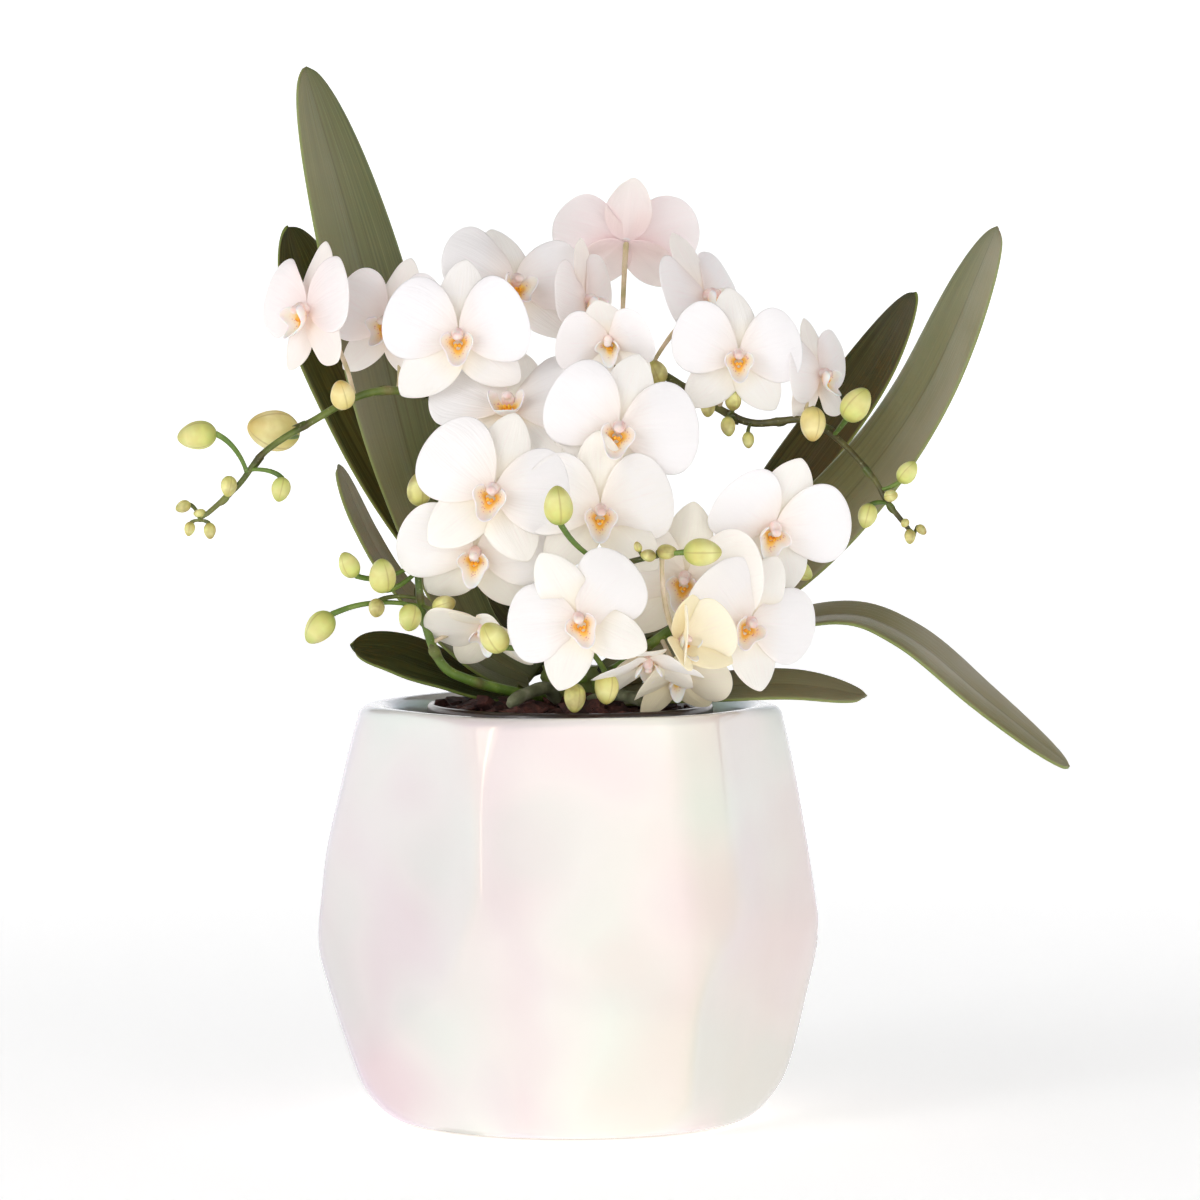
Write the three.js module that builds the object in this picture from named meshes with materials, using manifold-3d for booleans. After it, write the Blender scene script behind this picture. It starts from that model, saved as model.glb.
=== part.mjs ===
// Potted orchid: a small-flowered white moth orchid in a nursery pot, standing in a faceted glazed pot.
// Millimetres, +Z up. The origin is the centre of the glazed pot's underside, and the front faces -Y.
import * as THREE from 'three';
import { mergeVertices } from 'three/addons/utils/BufferGeometryUtils.js';
import Module from 'manifold-3d';

const wasm = await Module();
wasm.setup();

// ---- driving dimensions ----
const potHeight = 125;
const potBellyRadius = 76.5;
const potBellyLevel = 0.48;
const potFootRadius = 0.6536 * potBellyRadius;
const potRimRadius = 0.8366 * potBellyRadius;
const potLipRound = 4;
const potMouthRadius = 0.8438 * potRimRadius;
const potWellRadius = 0.7813 * potRimRadius;
const potFloor = 12;

const nurseryRadius = 43;
const nurseryFootRadius = 34;
const nurseryRise = 3;
const nurseryWall = 1.2;
const nurseryLip = 2.2;
const barkBelowRim = 4;
const barkDepth = 78;

const gap = 0.3;
const sliverSize = 0.05;
const crownRadius = 10;
const crownHeight = 12;

const leafThickness = 1.6;
const leafFold = 0.22;
const spikeRadius = 1.6;
const pedicelRadius = 0.9;
const petalThickness = 1.1;
const flowerSpread = 42;
const budLength = 11;

// ---- levels worked out from the sizes above ----
const nurseryBase = potFloor + gap;
const nurseryTop = potHeight + nurseryRise;
const barkTop = nurseryTop - barkBelowRim;
const crownBase = barkTop + gap;

// The plant's places below are laid out for flowers of layoutSpread, over a crown that stands at layoutBase.
const layoutSpread = 42;
const layoutBase = 124.3;
const growth = flowerSpread / layoutSpread;

// ---- finishes ----
const finish = (color, roughness, metalness = 0) =>
  new THREE.MeshStandardMaterial({ color, roughness, metalness });
const glaze = finish('#efe8e5', 0.12);
const plastic = finish('#3a2420', 0.35);
const barkBrown = finish('#5a3226', 0.9);
const leafGreen = finish('#46552c', 0.45);
const rootGrey = finish('#7c8058', 0.8);
const stemGreen = finish('#6f8a3a', 0.55);
const budGreen = finish('#c3c66a', 0.5);
const petalWhite = finish('#fbf5f4', 0.6);

// ---- small helpers ----
const point = (x, y, z) => new THREE.Vector3(x, y, z);
const radians = THREE.MathUtils.degToRad;

function solidOf(geometry) {
  const bare = geometry.clone();
  bare.deleteAttribute('normal');
  bare.deleteAttribute('uv');
  const merged = mergeVertices(bare, 1e-4);
  const vertProperties = new Float32Array(merged.attributes.position.array);
  const triVerts = new Uint32Array(merged.index.array);
  return new wasm.Manifold(new wasm.Mesh({ numProp: 3, vertProperties, triVerts }));
}

function geometryOf(solid) {
  const mesh = solid.getMesh();
  const geometry = new THREE.BufferGeometry();
  geometry.setAttribute('position', new THREE.BufferAttribute(mesh.vertProperties, 3));
  geometry.setIndex(new THREE.BufferAttribute(mesh.triVerts, 1));
  geometry.computeVertexNormals();
  return geometry;
}

// Joins closed shapes and keeps the outer skin, so no hollow is left where they meet, then closes up slivers.
function joined(geometries) {
  const whole = geometries.map(solidOf).reduce((sum, piece) => sum.add(piece));
  const skins = whole.decompose();
  const outer = skins.reduce((most, skin) => (skin.volume() > most.volume() ? skin : most));
  return geometryOf(outer.simplify(sliverSize));
}

function named(name, geometry, material) {
  const mesh = new THREE.Mesh(geometry, material);
  mesh.name = name;
  return mesh;
}

// A round bar along a curve, closed at both ends.
function bar(curve, radius, sides, steps) {
  const section = new THREE.Shape();
  for (let i = 0; i < sides; i += 1) {
    const turn = (2 * Math.PI * i) / sides;
    const x = radius * Math.cos(turn);
    const y = radius * Math.sin(turn);
    if (i === 0) section.moveTo(x, y);
    else section.lineTo(x, y);
  }
  section.closePath();
  return new THREE.ExtrudeGeometry(section, { steps, extrudePath: curve });
}

// Where a place in the plant's layout stands: layoutPlace moves it with the height of the pot, and
// plantPlace also spreads it with the size of the flowers.
const layoutPlace = ([x, y, z]) => point(x, y, z + crownBase - layoutBase);
const plantPlace = ([x, y, z]) => point(x * growth, y * growth, crownBase + (z - layoutBase) * growth);
const curveThrough = (points) => new THREE.CatmullRomCurve3(points);

// ---- glazed pot: a turned body with flat facets cut round it, under a round lip ----
// Each facet: the way it faces round the pot (-90 is the front), its lean (up is positive) and its distance
// from the axis at belly height as a share of the belly radius.
const potFacets = [
  { turn: -81.5, lean: 5.4, reach: 0.835 }, { turn: -52, lean: 8, reach: 0.915 },
  { turn: -28, lean: 8.5, reach: 0.89 }, { turn: 22, lean: 8, reach: 0.9 },
  { turn: 66, lean: 6, reach: 0.85 }, { turn: 108, lean: 6.5, reach: 0.86 },
  { turn: 150, lean: 5.5, reach: 0.86 }, { turn: -143, lean: 3, reach: 0.81 },
  { turn: -110, lean: -10, reach: 0.905 }, { turn: -84, lean: -17, reach: 0.935 },
  { turn: -128, lean: -18, reach: 0.93 }, { turn: -172, lean: -16.7, reach: 1.03 },
  { turn: -30, lean: -11, reach: 0.87 }, { turn: 6, lean: -13, reach: 1.0 },
  { turn: 44, lean: -14, reach: 0.93 }, { turn: 87, lean: -16, reach: 0.92 },
  { turn: 127, lean: -15, reach: 0.93 },
];

function potTurned() {
  const profile = [
    [0, 0], [potFootRadius, 0], [potFootRadius + 5, 1.5], [potFootRadius + 10, 6], [potFootRadius + 15.5, 14],
    [potBellyRadius - 3, 0.32 * potHeight], [potBellyRadius, 0.45 * potHeight],
    [potBellyRadius - 1, 0.53 * potHeight], [potBellyRadius - 6.5, 0.77 * potHeight],
    [potRimRadius, potHeight - potLipRound],
    [potRimRadius - 0.3 * potLipRound, potHeight - 0.3 * potLipRound],
    [potRimRadius - potLipRound, potHeight],
    [0, potHeight],
  ].map(([x, y]) => new THREE.Vector2(x, y));
  return new THREE.LatheGeometry(profile, 40).rotateX(Math.PI / 2);
}

// A block that lies wholly outside one facet, to be cut away.
function facetWaste({ turn, lean, reach }) {
  const size = 3 * potHeight;
  const waste = new THREE.BoxGeometry(size, size, size).translate(size / 2, 0, 0);
  waste.rotateY(-radians(lean)).rotateZ(radians(turn));
  const foot = point(potBellyRadius * reach, 0, potBellyLevel * potHeight);
  foot.applyAxisAngle(point(0, 0, 1), radians(turn));
  return waste.translate(foot.x, foot.y, foot.z);
}

function potBody() {
  return potFacets.reduce((body, facet) => body.subtract(solidOf(facetWaste(facet))), solidOf(potTurned()));
}

function potWell() {
  const above = potHeight + 5;
  const profile = [
    [0, potFloor], [potWellRadius - 6, potFloor], [potWellRadius, potFloor + 6],
    [potMouthRadius, potHeight - potLipRound], [potMouthRadius + 1.5, potHeight],
    [potMouthRadius + 1.5, above],
    [0, above],
  ].map(([x, y]) => new THREE.Vector2(x, y));
  return new THREE.LatheGeometry(profile, 32).rotateX(Math.PI / 2);
}

const pot = named('pot', geometryOf(potBody().subtract(solidOf(potWell()))), glaze);

// ---- nursery pot: a thin tapered cup with a rolled rim, and the bark it holds ----
const nurseryTaper = (height) => THREE.MathUtils.mapLinear(
  height, nurseryBase, nurseryTop, nurseryFootRadius, nurseryRadius - nurseryLip + nurseryWall,
);

function nurseryCup() {
  const lipDrop = 6;
  const profile = [
    [0, nurseryBase], [nurseryFootRadius, nurseryBase],
    [nurseryTaper(nurseryTop - lipDrop), nurseryTop - lipDrop], [nurseryRadius, nurseryTop - lipDrop + 1],
    [nurseryRadius, nurseryTop], [nurseryTaper(nurseryTop) - nurseryWall, nurseryTop],
    [nurseryFootRadius - nurseryWall, nurseryBase + nurseryWall], [0, nurseryBase + nurseryWall],
  ].map(([x, y]) => new THREE.Vector2(x, y));
  return new THREE.LatheGeometry(profile, 28).rotateX(Math.PI / 2);
}

function barkFill() {
  const bottom = barkTop - barkDepth;
  const inside = (height) => nurseryTaper(height) - nurseryWall - 2 * gap;
  const profile = [
    [0, bottom], [inside(bottom), bottom], [inside(barkTop - 2), barkTop - 2],
    [inside(barkTop) - 3, barkTop], [0, barkTop],
  ].map(([x, y]) => new THREE.Vector2(x, y));
  return new THREE.LatheGeometry(profile, 20).rotateX(Math.PI / 2);
}

const nurseryPot = named('nursery_pot', nurseryCup(), plastic);
const bark = named('bark', barkFill(), barkBrown);

// ---- crown: the short stem that the leaves, spikes and roots grow from ----
function crownStem() {
  const top = crownBase + crownHeight;
  const profile = [
    [0, crownBase], [crownRadius - 1.5, crownBase], [crownRadius, crownBase + 3],
    [crownRadius - 1, top - 3], [crownRadius - 4, top], [0, top],
  ].map(([x, y]) => new THREE.Vector2(x, y));
  return new THREE.LatheGeometry(profile, 12).rotateX(Math.PI / 2);
}

const crown = named('crown', crownStem(), leafGreen);

// A place on the crown's side: its angle round the crown, its height above the base and its clearance.
function crownPlace(turn, lift, clearance) {
  const radius = crownRadius + clearance;
  return point(radius * Math.cos(radians(turn)), radius * Math.sin(radians(turn)), crownBase + lift);
}

// ---- leaves: thick straps folded along the midrib, arching out from the crown ----
// face is the way the blade's upper side looks, and broad is where along the leaf it is widest.
const leaves = [
  { name: 'leaf_tall_left', turn: 156, lift: 8, width: 33, broad: 0.6, face: [0.5, -0.8, 0.3],
    spine: [[-30, 9, 148], [-47, 16, 193], [-62, 21, 253], [-80, 19, 316]] },
  { name: 'leaf_back_left', turn: 125, lift: 9.5, width: 30, broad: 0.6, face: [0.45, -0.85, 0.3],
    spine: [[-30, 30, 155], [-56, 40, 200], [-75, 44, 238], [-86, 40, 268]] },
  { name: 'leaf_mid_left', turn: 184, lift: 6, width: 20, broad: 0.6, face: [0.6, -0.3, 0.7],
    spine: [[-29, -9, 139], [-50, -9, 160], [-61, -7, 178], [-69, -4, 197]] },
  { name: 'leaf_low_left', turn: 214, lift: 2, width: 19, broad: 0.62, face: [0.1, -0.25, 0.95],
    spine: [[-24, -8, 130], [-38, -9, 136], [-52, -10, 141], [-65, -12, 143]] },
  { name: 'leaf_tall_right', turn: 16, lift: 9, width: 27, broad: 0.55, face: [-0.75, -0.45, 0.5],
    spine: [[44, 6, 151], [78, 6, 181], [106, 5, 218], [128, 2, 268]] },
  { name: 'leaf_back_right', turn: 46, lift: 8, width: 25, broad: 0.6, face: [-0.6, -0.6, 0.5],
    spine: [[38, 32, 154], [72, 42, 197], [92, 46, 226], [105, 44, 248]] },
  { name: 'leaf_arching_right', turn: -10, lift: 4, width: 23, broad: 0.55, face: [0.1, -0.2, 0.96],
    spine: [[40, -14, 142], [78, -16, 153], [100, -18, 147], [124, -20, 128], [149, -22, 108]] },
  { name: 'leaf_low_right', turn: -44, lift: 2, width: 17, broad: 0.6, face: [0.05, -0.1, 0.98],
    spine: [[24, -13, 129.5], [46, -17, 131.5], [68, -19, 132], [88, -20, 129]] },
];

function leafBlade({ turn, lift, width, broad, face, spine }) {
  const steps = 12;
  const curve = curveThrough([crownPlace(turn, lift, leafThickness), ...spine.map(plantPlace)]);
  const upward = point(...face).normalize();
  const blade = new THREE.BoxGeometry(2, 1, 1, 2, steps, 1);
  const places = blade.attributes.position;
  for (let i = 0; i < places.count; i += 1) {
    const along = places.getY(i) + 0.5;
    const side = places.getX(i);
    const over = places.getZ(i);
    const swell = along < broad
      ? 0.18 + 0.82 * Math.sin((0.5 * Math.PI * along) / broad)
      : Math.cos((0.5 * Math.PI * (along - broad)) / (1.0 - broad)) ** 0.75;
    const half = Math.max(0.5 * width * growth * swell, 0.5);
    const tangent = curve.getTangentAt(along);
    const across = tangent.clone().cross(upward).normalize();
    const normal = across.clone().cross(tangent);
    const place = curve.getPointAt(along);
    place.addScaledVector(across, side * half);
    place.addScaledVector(normal, over * leafThickness + leafFold * half * Math.abs(side));
    places.setXYZ(i, place.x, place.y, place.z);
  }
  return blade;
}

const leafMeshes = leaves.map((leaf) => named(leaf.name, leafBlade(leaf), leafGreen));

// ---- aerial roots: blunt cords that leave the crown and turn down on to the bark ----
const roots = [
  { name: 'root_left', turn: -110, lift: 2.8, radius: 2.0,
    route: [[-7, -18, 131], [-14, -27, 129.5], [-18, -32, 127]] },
  { name: 'root_right', turn: -62, lift: 2, radius: 1.8,
    route: [[12, -20, 129], [19, -25, 128.5], [22, -27, 126.8]] },
];

const rootMeshes = roots.map(({ name, turn, lift, radius, route }) => {
  const curve = curveThrough([crownPlace(turn, lift, radius), ...route.map(layoutPlace)]);
  return named(name, bar(curve, radius, 6, 7), rootGrey);
});

// ---- flower spikes: routes chosen by hand, up from the crown and over ----
const spikes = [
  { name: 'spike_upper_left', turn: 97, lift: 3, steps: 22,
    route: [[-6, 17, 158], [-17, 8, 196], [-28, -2, 216], [-44, -14, 219], [-60, -22, 219],
      [-76, -28, 211], [-90, -32, 202], [-98, -35, 192], [-109, -38, 182]] },
  { name: 'spike_upper_right', turn: 72, lift: 3, steps: 26,
    route: [[6, 14, 165], [6, 9, 205], [14, 2, 228], [26, -6, 225], [41, -12, 216], [54, -16, 210],
      [70, -20, 211], [80, -23, 205], [90, -27, 194], [94, -29, 187], [102, -31, 177]] },
  { name: 'spike_centre', turn: -72, lift: 8, steps: 12,
    route: [[1, -14, 155], [-1, -18, 182], [2, -24, 203], [10, -28, 213]] },
  { name: 'spike_low_left', turn: -130, lift: 3, steps: 16,
    route: [[-17, -20, 130], [-30, -26, 134], [-38, -28, 139], [-43, -30, 152], [-45, -31, 168],
      [-44, -31, 186]] },
  { name: 'spike_front', turn: -88, lift: 3, steps: 14,
    route: [[-2, -24, 138], [1, -42, 150], [7, -52, 162], [16, -56, 170], [27, -58, 173]] },
  { name: 'spike_low_right', turn: -50, lift: 7, steps: 12,
    route: [[18, -20, 140], [34, -26, 152], [48, -27, 164], [58, -26, 171], [66, -26, 173]] },
];

const spikeCurves = {};
const spikeMeshes = spikes.map(({ name, turn, lift, steps, route }) => {
  const curve = curveThrough([crownPlace(turn, lift, spikeRadius), ...route.map(plantPlace)]);
  spikeCurves[name] = curve;
  return named(name, bar(curve, spikeRadius, 6, steps), stemGreen);
});

// ---- flowers: three sepals and two broader petals round a lip, all shares of the flower's spread ----
// A flower's own frame: +Z is the way it looks, +Y is up through the top sepal.
const flowerBlades = [
  { turn: 0, length: 0.47, width: 0.3 },
  { turn: 70, length: 0.5, width: 0.44 },
  { turn: 136, length: 0.46, width: 0.27 },
  { turn: 224, length: 0.46, width: 0.27 },
  { turn: 290, length: 0.5, width: 0.44 },
];
const bladeOutline = [[0.5, 0.62], [0.36, 0.88], [-0.36, 0.88], [-0.5, 0.62]];
const flowerCup = 0.06;
const notchRadius = 0.12;

function flowerHead(spread) {
  const corners = flowerBlades.flatMap(({ turn, length, width }, i) => {
    const next = flowerBlades[(i + 1) % flowerBlades.length];
    const notchTurn = 0.5 * (turn + next.turn + (next.turn < turn ? 360 : 0));
    const lobe = bladeOutline.map(([side, along]) => [turn, side * width, along * length]);
    return [...lobe, [notchTurn, 0, notchRadius]];
  });
  const outline = corners.map(([turn, side, along]) => new THREE.Vector2(side, along)
    .multiplyScalar(spread).rotateAround(new THREE.Vector2(), radians(turn)));
  const star = new THREE.ExtrudeGeometry(new THREE.Shape(outline), { depth: petalThickness, bevelEnabled: false });
  const places = star.attributes.position;
  for (let i = 0; i < places.count; i += 1) {
    const reach = Math.hypot(places.getX(i), places.getY(i)) / spread;
    places.setZ(i, places.getZ(i) + flowerCup * spread * (4 * reach * reach - 0.3));
  }
  const lip = new THREE.SphereGeometry(1, 6, 4).scale(0.08 * spread, 0.12 * spread, 0.1 * spread);
  lip.translate(0, -0.05 * spread, 0.05 * spread);
  return joined([star, lip]);
}

// turn is the heading (0 looks to -Y, 90 to +X), lift the tilt upwards, roll the spin, all in degrees.
function facing(turn, lift, roll) {
  const look = point(
    Math.sin(radians(turn)) * Math.cos(radians(lift)),
    -Math.cos(radians(turn)) * Math.cos(radians(lift)),
    Math.sin(radians(lift)),
  );
  const up = point(0, 0, 1).addScaledVector(look, -look.z).normalize();
  const frame = new THREE.Matrix4().makeBasis(up.clone().cross(look), up, look);
  const turned = new THREE.Quaternion().setFromRotationMatrix(frame);
  return turned.multiply(new THREE.Quaternion().setFromAxisAngle(point(0, 0, 1), radians(roll)));
}

// The place along a spike that lies nearest to a given place.
function nearestOn(curve, place) {
  const shares = Array.from({ length: 101 }, (_, i) => 0.06 + (0.94 * i) / 100);
  const distance = (share) => curve.getPointAt(share).distanceTo(place);
  return curve.getPointAt(shares.reduce((best, share) => (distance(share) < distance(best) ? share : best)));
}

// The stalk from the back of a flower or bud to its spike, in the flower's own frame.
function stalk(place, turned, spike, start) {
  const home = turned.clone().invert();
  const foot = nearestOn(spikeCurves[spike], place).sub(place).applyQuaternion(home);
  const first = point(0, 0, start);
  const reach = foot.distanceTo(first);
  const bend = point(0, 0, start - 0.35 * reach).lerp(foot, 0.3);
  const path = new THREE.QuadraticBezierCurve3(first, bend, foot);
  const stop = 1 - (spikeRadius + 2 * gap + pedicelRadius) / path.getLength();
  const cut = new THREE.QuadraticBezierCurve3(first, first.clone().lerp(bend, stop), path.getPoint(stop));
  return bar(cut, pedicelRadius, 5, 3);
}

function placed(name, geometry, material, place, turned) {
  const mesh = named(name, geometry, material);
  mesh.position.copy(place);
  mesh.quaternion.copy(turned);
  return mesh;
}

const flowers = [
  { name: 'flower_01', at: [-80, -14, 240], turn: -68, lift: 8, roll: 6, size: 0.96, spike: 'spike_upper_left' },
  { name: 'flower_02', at: [-57, -8, 239], turn: -34, lift: 10, roll: -6, size: 0.92, spike: 'spike_upper_left' },
  { name: 'flower_03', at: [-33, -26, 236], turn: -4, lift: 6, roll: 2, size: 1.0, spike: 'spike_upper_left' },
  { name: 'flower_04', at: [-18, -8, 252], turn: 6, lift: 16, roll: -8, size: 0.98, spike: 'spike_upper_left' },
  { name: 'flower_05', at: [5, -4, 246], turn: 66, lift: 6, roll: 0, size: 0.86, spike: 'spike_upper_right' },
  { name: 'flower_06', at: [12, -20, 235], turn: 22, lift: 12, roll: -4, size: 0.86, spike: 'spike_upper_right' },
  { name: 'flower_07', at: [17, 16, 264], turn: 174, lift: 14, roll: 4, size: 1.02, spike: 'spike_upper_right' },
  { name: 'flower_08', at: [41, 4, 250], turn: 34, lift: 14, roll: 6, size: 0.94, spike: 'spike_upper_right' },
  { name: 'flower_09', at: [50, -24, 230], turn: 2, lift: 4, roll: 0, size: 0.94, spike: 'spike_upper_right' },
  { name: 'flower_10', at: [75, -10, 224], turn: 58, lift: 8, roll: 4, size: 0.8, spike: 'spike_upper_right' },
  { name: 'flower_11', at: [14, -42, 209], turn: 2, lift: 8, roll: 3, size: 1.02, spike: 'spike_centre' },
  { name: 'flower_12', at: [-25, -48, 191], turn: -12, lift: 2, roll: 8, size: 1.0, spike: 'spike_centre' },
  { name: 'flower_13', at: [-30, -41, 168], turn: -20, lift: -4, roll: -6, size: 0.94, spike: 'spike_centre' },
  { name: 'flower_14', at: [9, -49, 185], turn: 4, lift: -4, roll: -4, size: 0.92, spike: 'spike_centre' },
  { name: 'flower_15', at: [1, -66, 152], turn: -2, lift: 2, roll: 12, size: 1.0, spike: 'spike_front' },
  { name: 'flower_16', at: [60, -38, 182], turn: 10, lift: 4, roll: -16, size: 0.98, spike: 'spike_low_right' },
  { name: 'flower_17', at: [56, -46, 151], turn: 18, lift: 2, roll: -14, size: 0.98, spike: 'spike_low_right' },
  { name: 'flower_18', at: [34, -41, 165], turn: -6, lift: -6, roll: -10, size: 0.9, spike: 'spike_low_right' },
  { name: 'flower_19', at: [32, -61, 148], turn: 56, lift: -10, roll: 0, size: 0.6, spike: 'spike_front' },
  { name: 'flower_20', at: [23, -48, 142], turn: 10, lift: -20, roll: 10, size: 0.66, spike: 'spike_front' },
  { name: 'flower_21', at: [32, -32, 136], turn: 20, lift: -40, roll: 0, size: 0.66, spike: 'spike_low_right' },
  { name: 'flower_22', at: [-24, -32, 151], turn: -34, lift: -20, roll: 0, size: 0.72, spike: 'spike_low_left' },
  { name: 'flower_23', at: [-16, -26, 219], turn: -14, lift: 24, roll: 4, size: 0.86, spike: 'spike_centre' },
];

const flowerMeshes = flowers.map(({ name, at, turn, lift, roll, size, spike }) => {
  const spread = flowerSpread * size;
  const place = plantPlace(at);
  const turned = facing(turn, lift, roll);
  const shape = joined([flowerHead(spread), stalk(place, turned, spike, -0.02 * spread)]);
  return placed(name, shape, petalWhite, place, turned);
});

// ---- buds: egg shapes on stalks; a bud's own +Z points from its stalk to its tip ----
const buds = [
  { name: 'bud_left_ripe', at: [-67, -31, 219], turn: -10, lift: 50, size: 0.9, spike: 'spike_upper_left' },
  { name: 'bud_left_arched', at: [-110, -36, 207], turn: -90, lift: -8, size: 1.05, spike: 'spike_upper_left' },
  { name: 'bud_left_opening', at: [-89, -20, 208], turn: -60, lift: 10, size: 1.5, spike: 'spike_upper_left' },
  { name: 'bud_left_small', at: [-85, -38, 191], turn: -20, lift: -60, size: 0.7, spike: 'spike_upper_left' },
  { name: 'bud_low_left_high', at: [-65, -38, 169], turn: -60, lift: 60, size: 0.75, spike: 'spike_low_left' },
  { name: 'bud_low_left_large', at: [-55, -40, 166], turn: 0, lift: 60, size: 1.0, spike: 'spike_low_left' },
  { name: 'bud_low_left_far', at: [-74, -35, 150], turn: -80, lift: -50, size: 1.0, spike: 'spike_low_left' },
  { name: 'bud_low_left_near', at: [-47, -37, 153], turn: 0, lift: -40, size: 0.85, spike: 'spike_low_left' },
  { name: 'bud_centre_upright', at: [-3, -66, 188], turn: -20, lift: 78, size: 1.05, spike: 'spike_front' },
  { name: 'bud_centre_level', at: [39, -62, 174], turn: 88, lift: 0, size: 1.0, spike: 'spike_front' },
  { name: 'bud_front_left', at: [-22, -58, 149], turn: -40, lift: 40, size: 1.0, spike: 'spike_front' },
  { name: 'bud_front_low', at: [11, -48, 133], turn: 0, lift: -60, size: 0.9, spike: 'spike_front' },
  { name: 'bud_right_behind', at: [69, -20, 166], turn: 60, lift: -30, size: 0.7, spike: 'spike_low_right' },
  { name: 'bud_right_ripe', at: [72, -30, 210], turn: 0, lift: -70, size: 0.95, spike: 'spike_upper_right' },
  { name: 'bud_right_large', at: [85, -29, 216], turn: 50, lift: 50, size: 1.05, spike: 'spike_upper_right' },
  { name: 'bud_right_small', at: [100, -31, 196], turn: 60, lift: 50, size: 0.7, spike: 'spike_upper_right' },
  { name: 'bud_right_low', at: [88, -33, 183], turn: -30, lift: -60, size: 0.7, spike: 'spike_upper_right' },
];

const budShape = (length) => new THREE.SphereGeometry(0.5, 7, 5).rotateX(Math.PI / 2)
  .scale(0.74 * length, 0.74 * length, length);

const budMeshes = buds.map(({ name, at, turn, lift, size, spike }) => {
  const length = budLength * size;
  const place = plantPlace(at);
  const turned = facing(turn, lift, 0);
  const shape = joined([budShape(length), stalk(place, turned, spike, -0.4 * length)]);
  return placed(name, shape, budGreen, place, turned);
});

const orchid = new THREE.Group();
orchid.add(pot, nurseryPot, bark, crown, ...leafMeshes, ...rootMeshes, ...spikeMeshes);
orchid.add(...flowerMeshes, ...budMeshes);

export default orchid;
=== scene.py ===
import math
import random
import bpy
import bmesh
from mathutils import Matrix, Vector


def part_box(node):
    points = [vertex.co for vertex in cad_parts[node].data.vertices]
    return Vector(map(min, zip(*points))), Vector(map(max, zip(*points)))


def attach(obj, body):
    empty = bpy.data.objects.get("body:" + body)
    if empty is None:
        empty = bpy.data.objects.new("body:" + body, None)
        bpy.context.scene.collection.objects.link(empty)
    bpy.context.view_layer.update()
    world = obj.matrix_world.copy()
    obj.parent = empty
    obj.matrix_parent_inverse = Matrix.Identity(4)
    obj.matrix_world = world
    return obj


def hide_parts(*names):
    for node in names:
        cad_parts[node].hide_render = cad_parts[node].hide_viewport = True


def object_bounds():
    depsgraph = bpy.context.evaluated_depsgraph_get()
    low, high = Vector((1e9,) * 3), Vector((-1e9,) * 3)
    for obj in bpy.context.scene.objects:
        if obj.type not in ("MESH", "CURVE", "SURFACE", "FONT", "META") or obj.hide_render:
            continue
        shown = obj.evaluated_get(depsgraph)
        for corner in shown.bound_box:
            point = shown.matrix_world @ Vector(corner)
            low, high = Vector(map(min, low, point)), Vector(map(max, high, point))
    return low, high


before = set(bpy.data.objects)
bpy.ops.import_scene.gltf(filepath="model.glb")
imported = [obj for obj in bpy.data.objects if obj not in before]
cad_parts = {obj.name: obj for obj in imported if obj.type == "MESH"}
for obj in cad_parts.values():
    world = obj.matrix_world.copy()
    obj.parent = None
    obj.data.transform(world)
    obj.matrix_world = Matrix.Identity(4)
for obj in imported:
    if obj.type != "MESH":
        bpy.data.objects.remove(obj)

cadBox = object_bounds()
mm = 0.001
low, high = Vector(cadBox[0]), Vector(cadBox[1])


# camera
camera = {"lens": 200, "sensor": 36, "away": 2.0, "eyeHeight": 0.283, "aimAcross": -0.008, "aimLift": -0.002}


def addCamera(size):
    middle = (low + high) / 2
    aim = Vector((middle.x + size["aimAcross"], 0, high.z / 2 + size["aimLift"]))
    eye = Vector((aim.x, -size["away"], size["eyeHeight"]))
    data = bpy.data.cameras.new("camera")
    data.lens = size["lens"]
    data.sensor_width = size["sensor"]
    data.clip_end = 20
    view = bpy.data.objects.new("camera", data)
    view.location = eye
    view.rotation_euler = (aim - eye).to_track_quat("-Z", "Y").to_euler()
    bpy.context.collection.objects.link(view)
    bpy.context.scene.camera = view


addCamera(camera)
print("camera placed")


# helpers for shapes
def toObject(name, bm, materials, smooth=True):
    mesh = bpy.data.meshes.new(name)
    bm.to_mesh(mesh)
    bm.free()
    for material in materials:
        mesh.materials.append(material)
    for face in mesh.polygons:
        face.use_smooth = smooth
    piece = bpy.data.objects.new(name, mesh)
    bpy.context.collection.objects.link(piece)
    return piece


def subdivide(piece):
    step = piece.modifiers.new("soften", "SUBSURF")
    step.levels = 1
    step.render_levels = 1


def settle(piece, node):
    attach(piece, "root")
    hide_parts(node)


def setShare(piece, name, value):  # one number for the whole piece, which its material reads
    attribute = piece.data.attributes.new(name, "FLOAT", "POINT")
    attribute.data.foreach_set("value", [value] * len(piece.data.vertices))


def pathThrough(places, count=96):  # a smooth line through the places, as points at equal steps of its length
    knots = [Vector(place) for place in places]
    knots = [2 * knots[0] - knots[1]] + knots + [2 * knots[-1] - knots[-2]]
    dense = []
    for a, b, c, d in zip(knots, knots[1:], knots[2:], knots[3:]):
        for i in range(24):
            t = i / 24
            dense.append(0.5 * (2 * b + (c - a) * t + (2 * a - 5 * b + 4 * c - d) * t * t
                                + (3 * b - a - 3 * c + d) * t ** 3))
    dense.append(knots[-2])
    lengths = [0]
    for one, two in zip(dense, dense[1:]):
        lengths.append(lengths[-1] + (two - one).length)
    line, j = [], 0
    for i in range(count + 1):
        want = lengths[-1] * i / count
        while j < len(dense) - 2 and lengths[j + 1] < want:
            j += 1
        line.append(dense[j].lerp(dense[j + 1], (want - lengths[j]) / max(lengths[j + 1] - lengths[j], 1e-9)))
    return line


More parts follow.
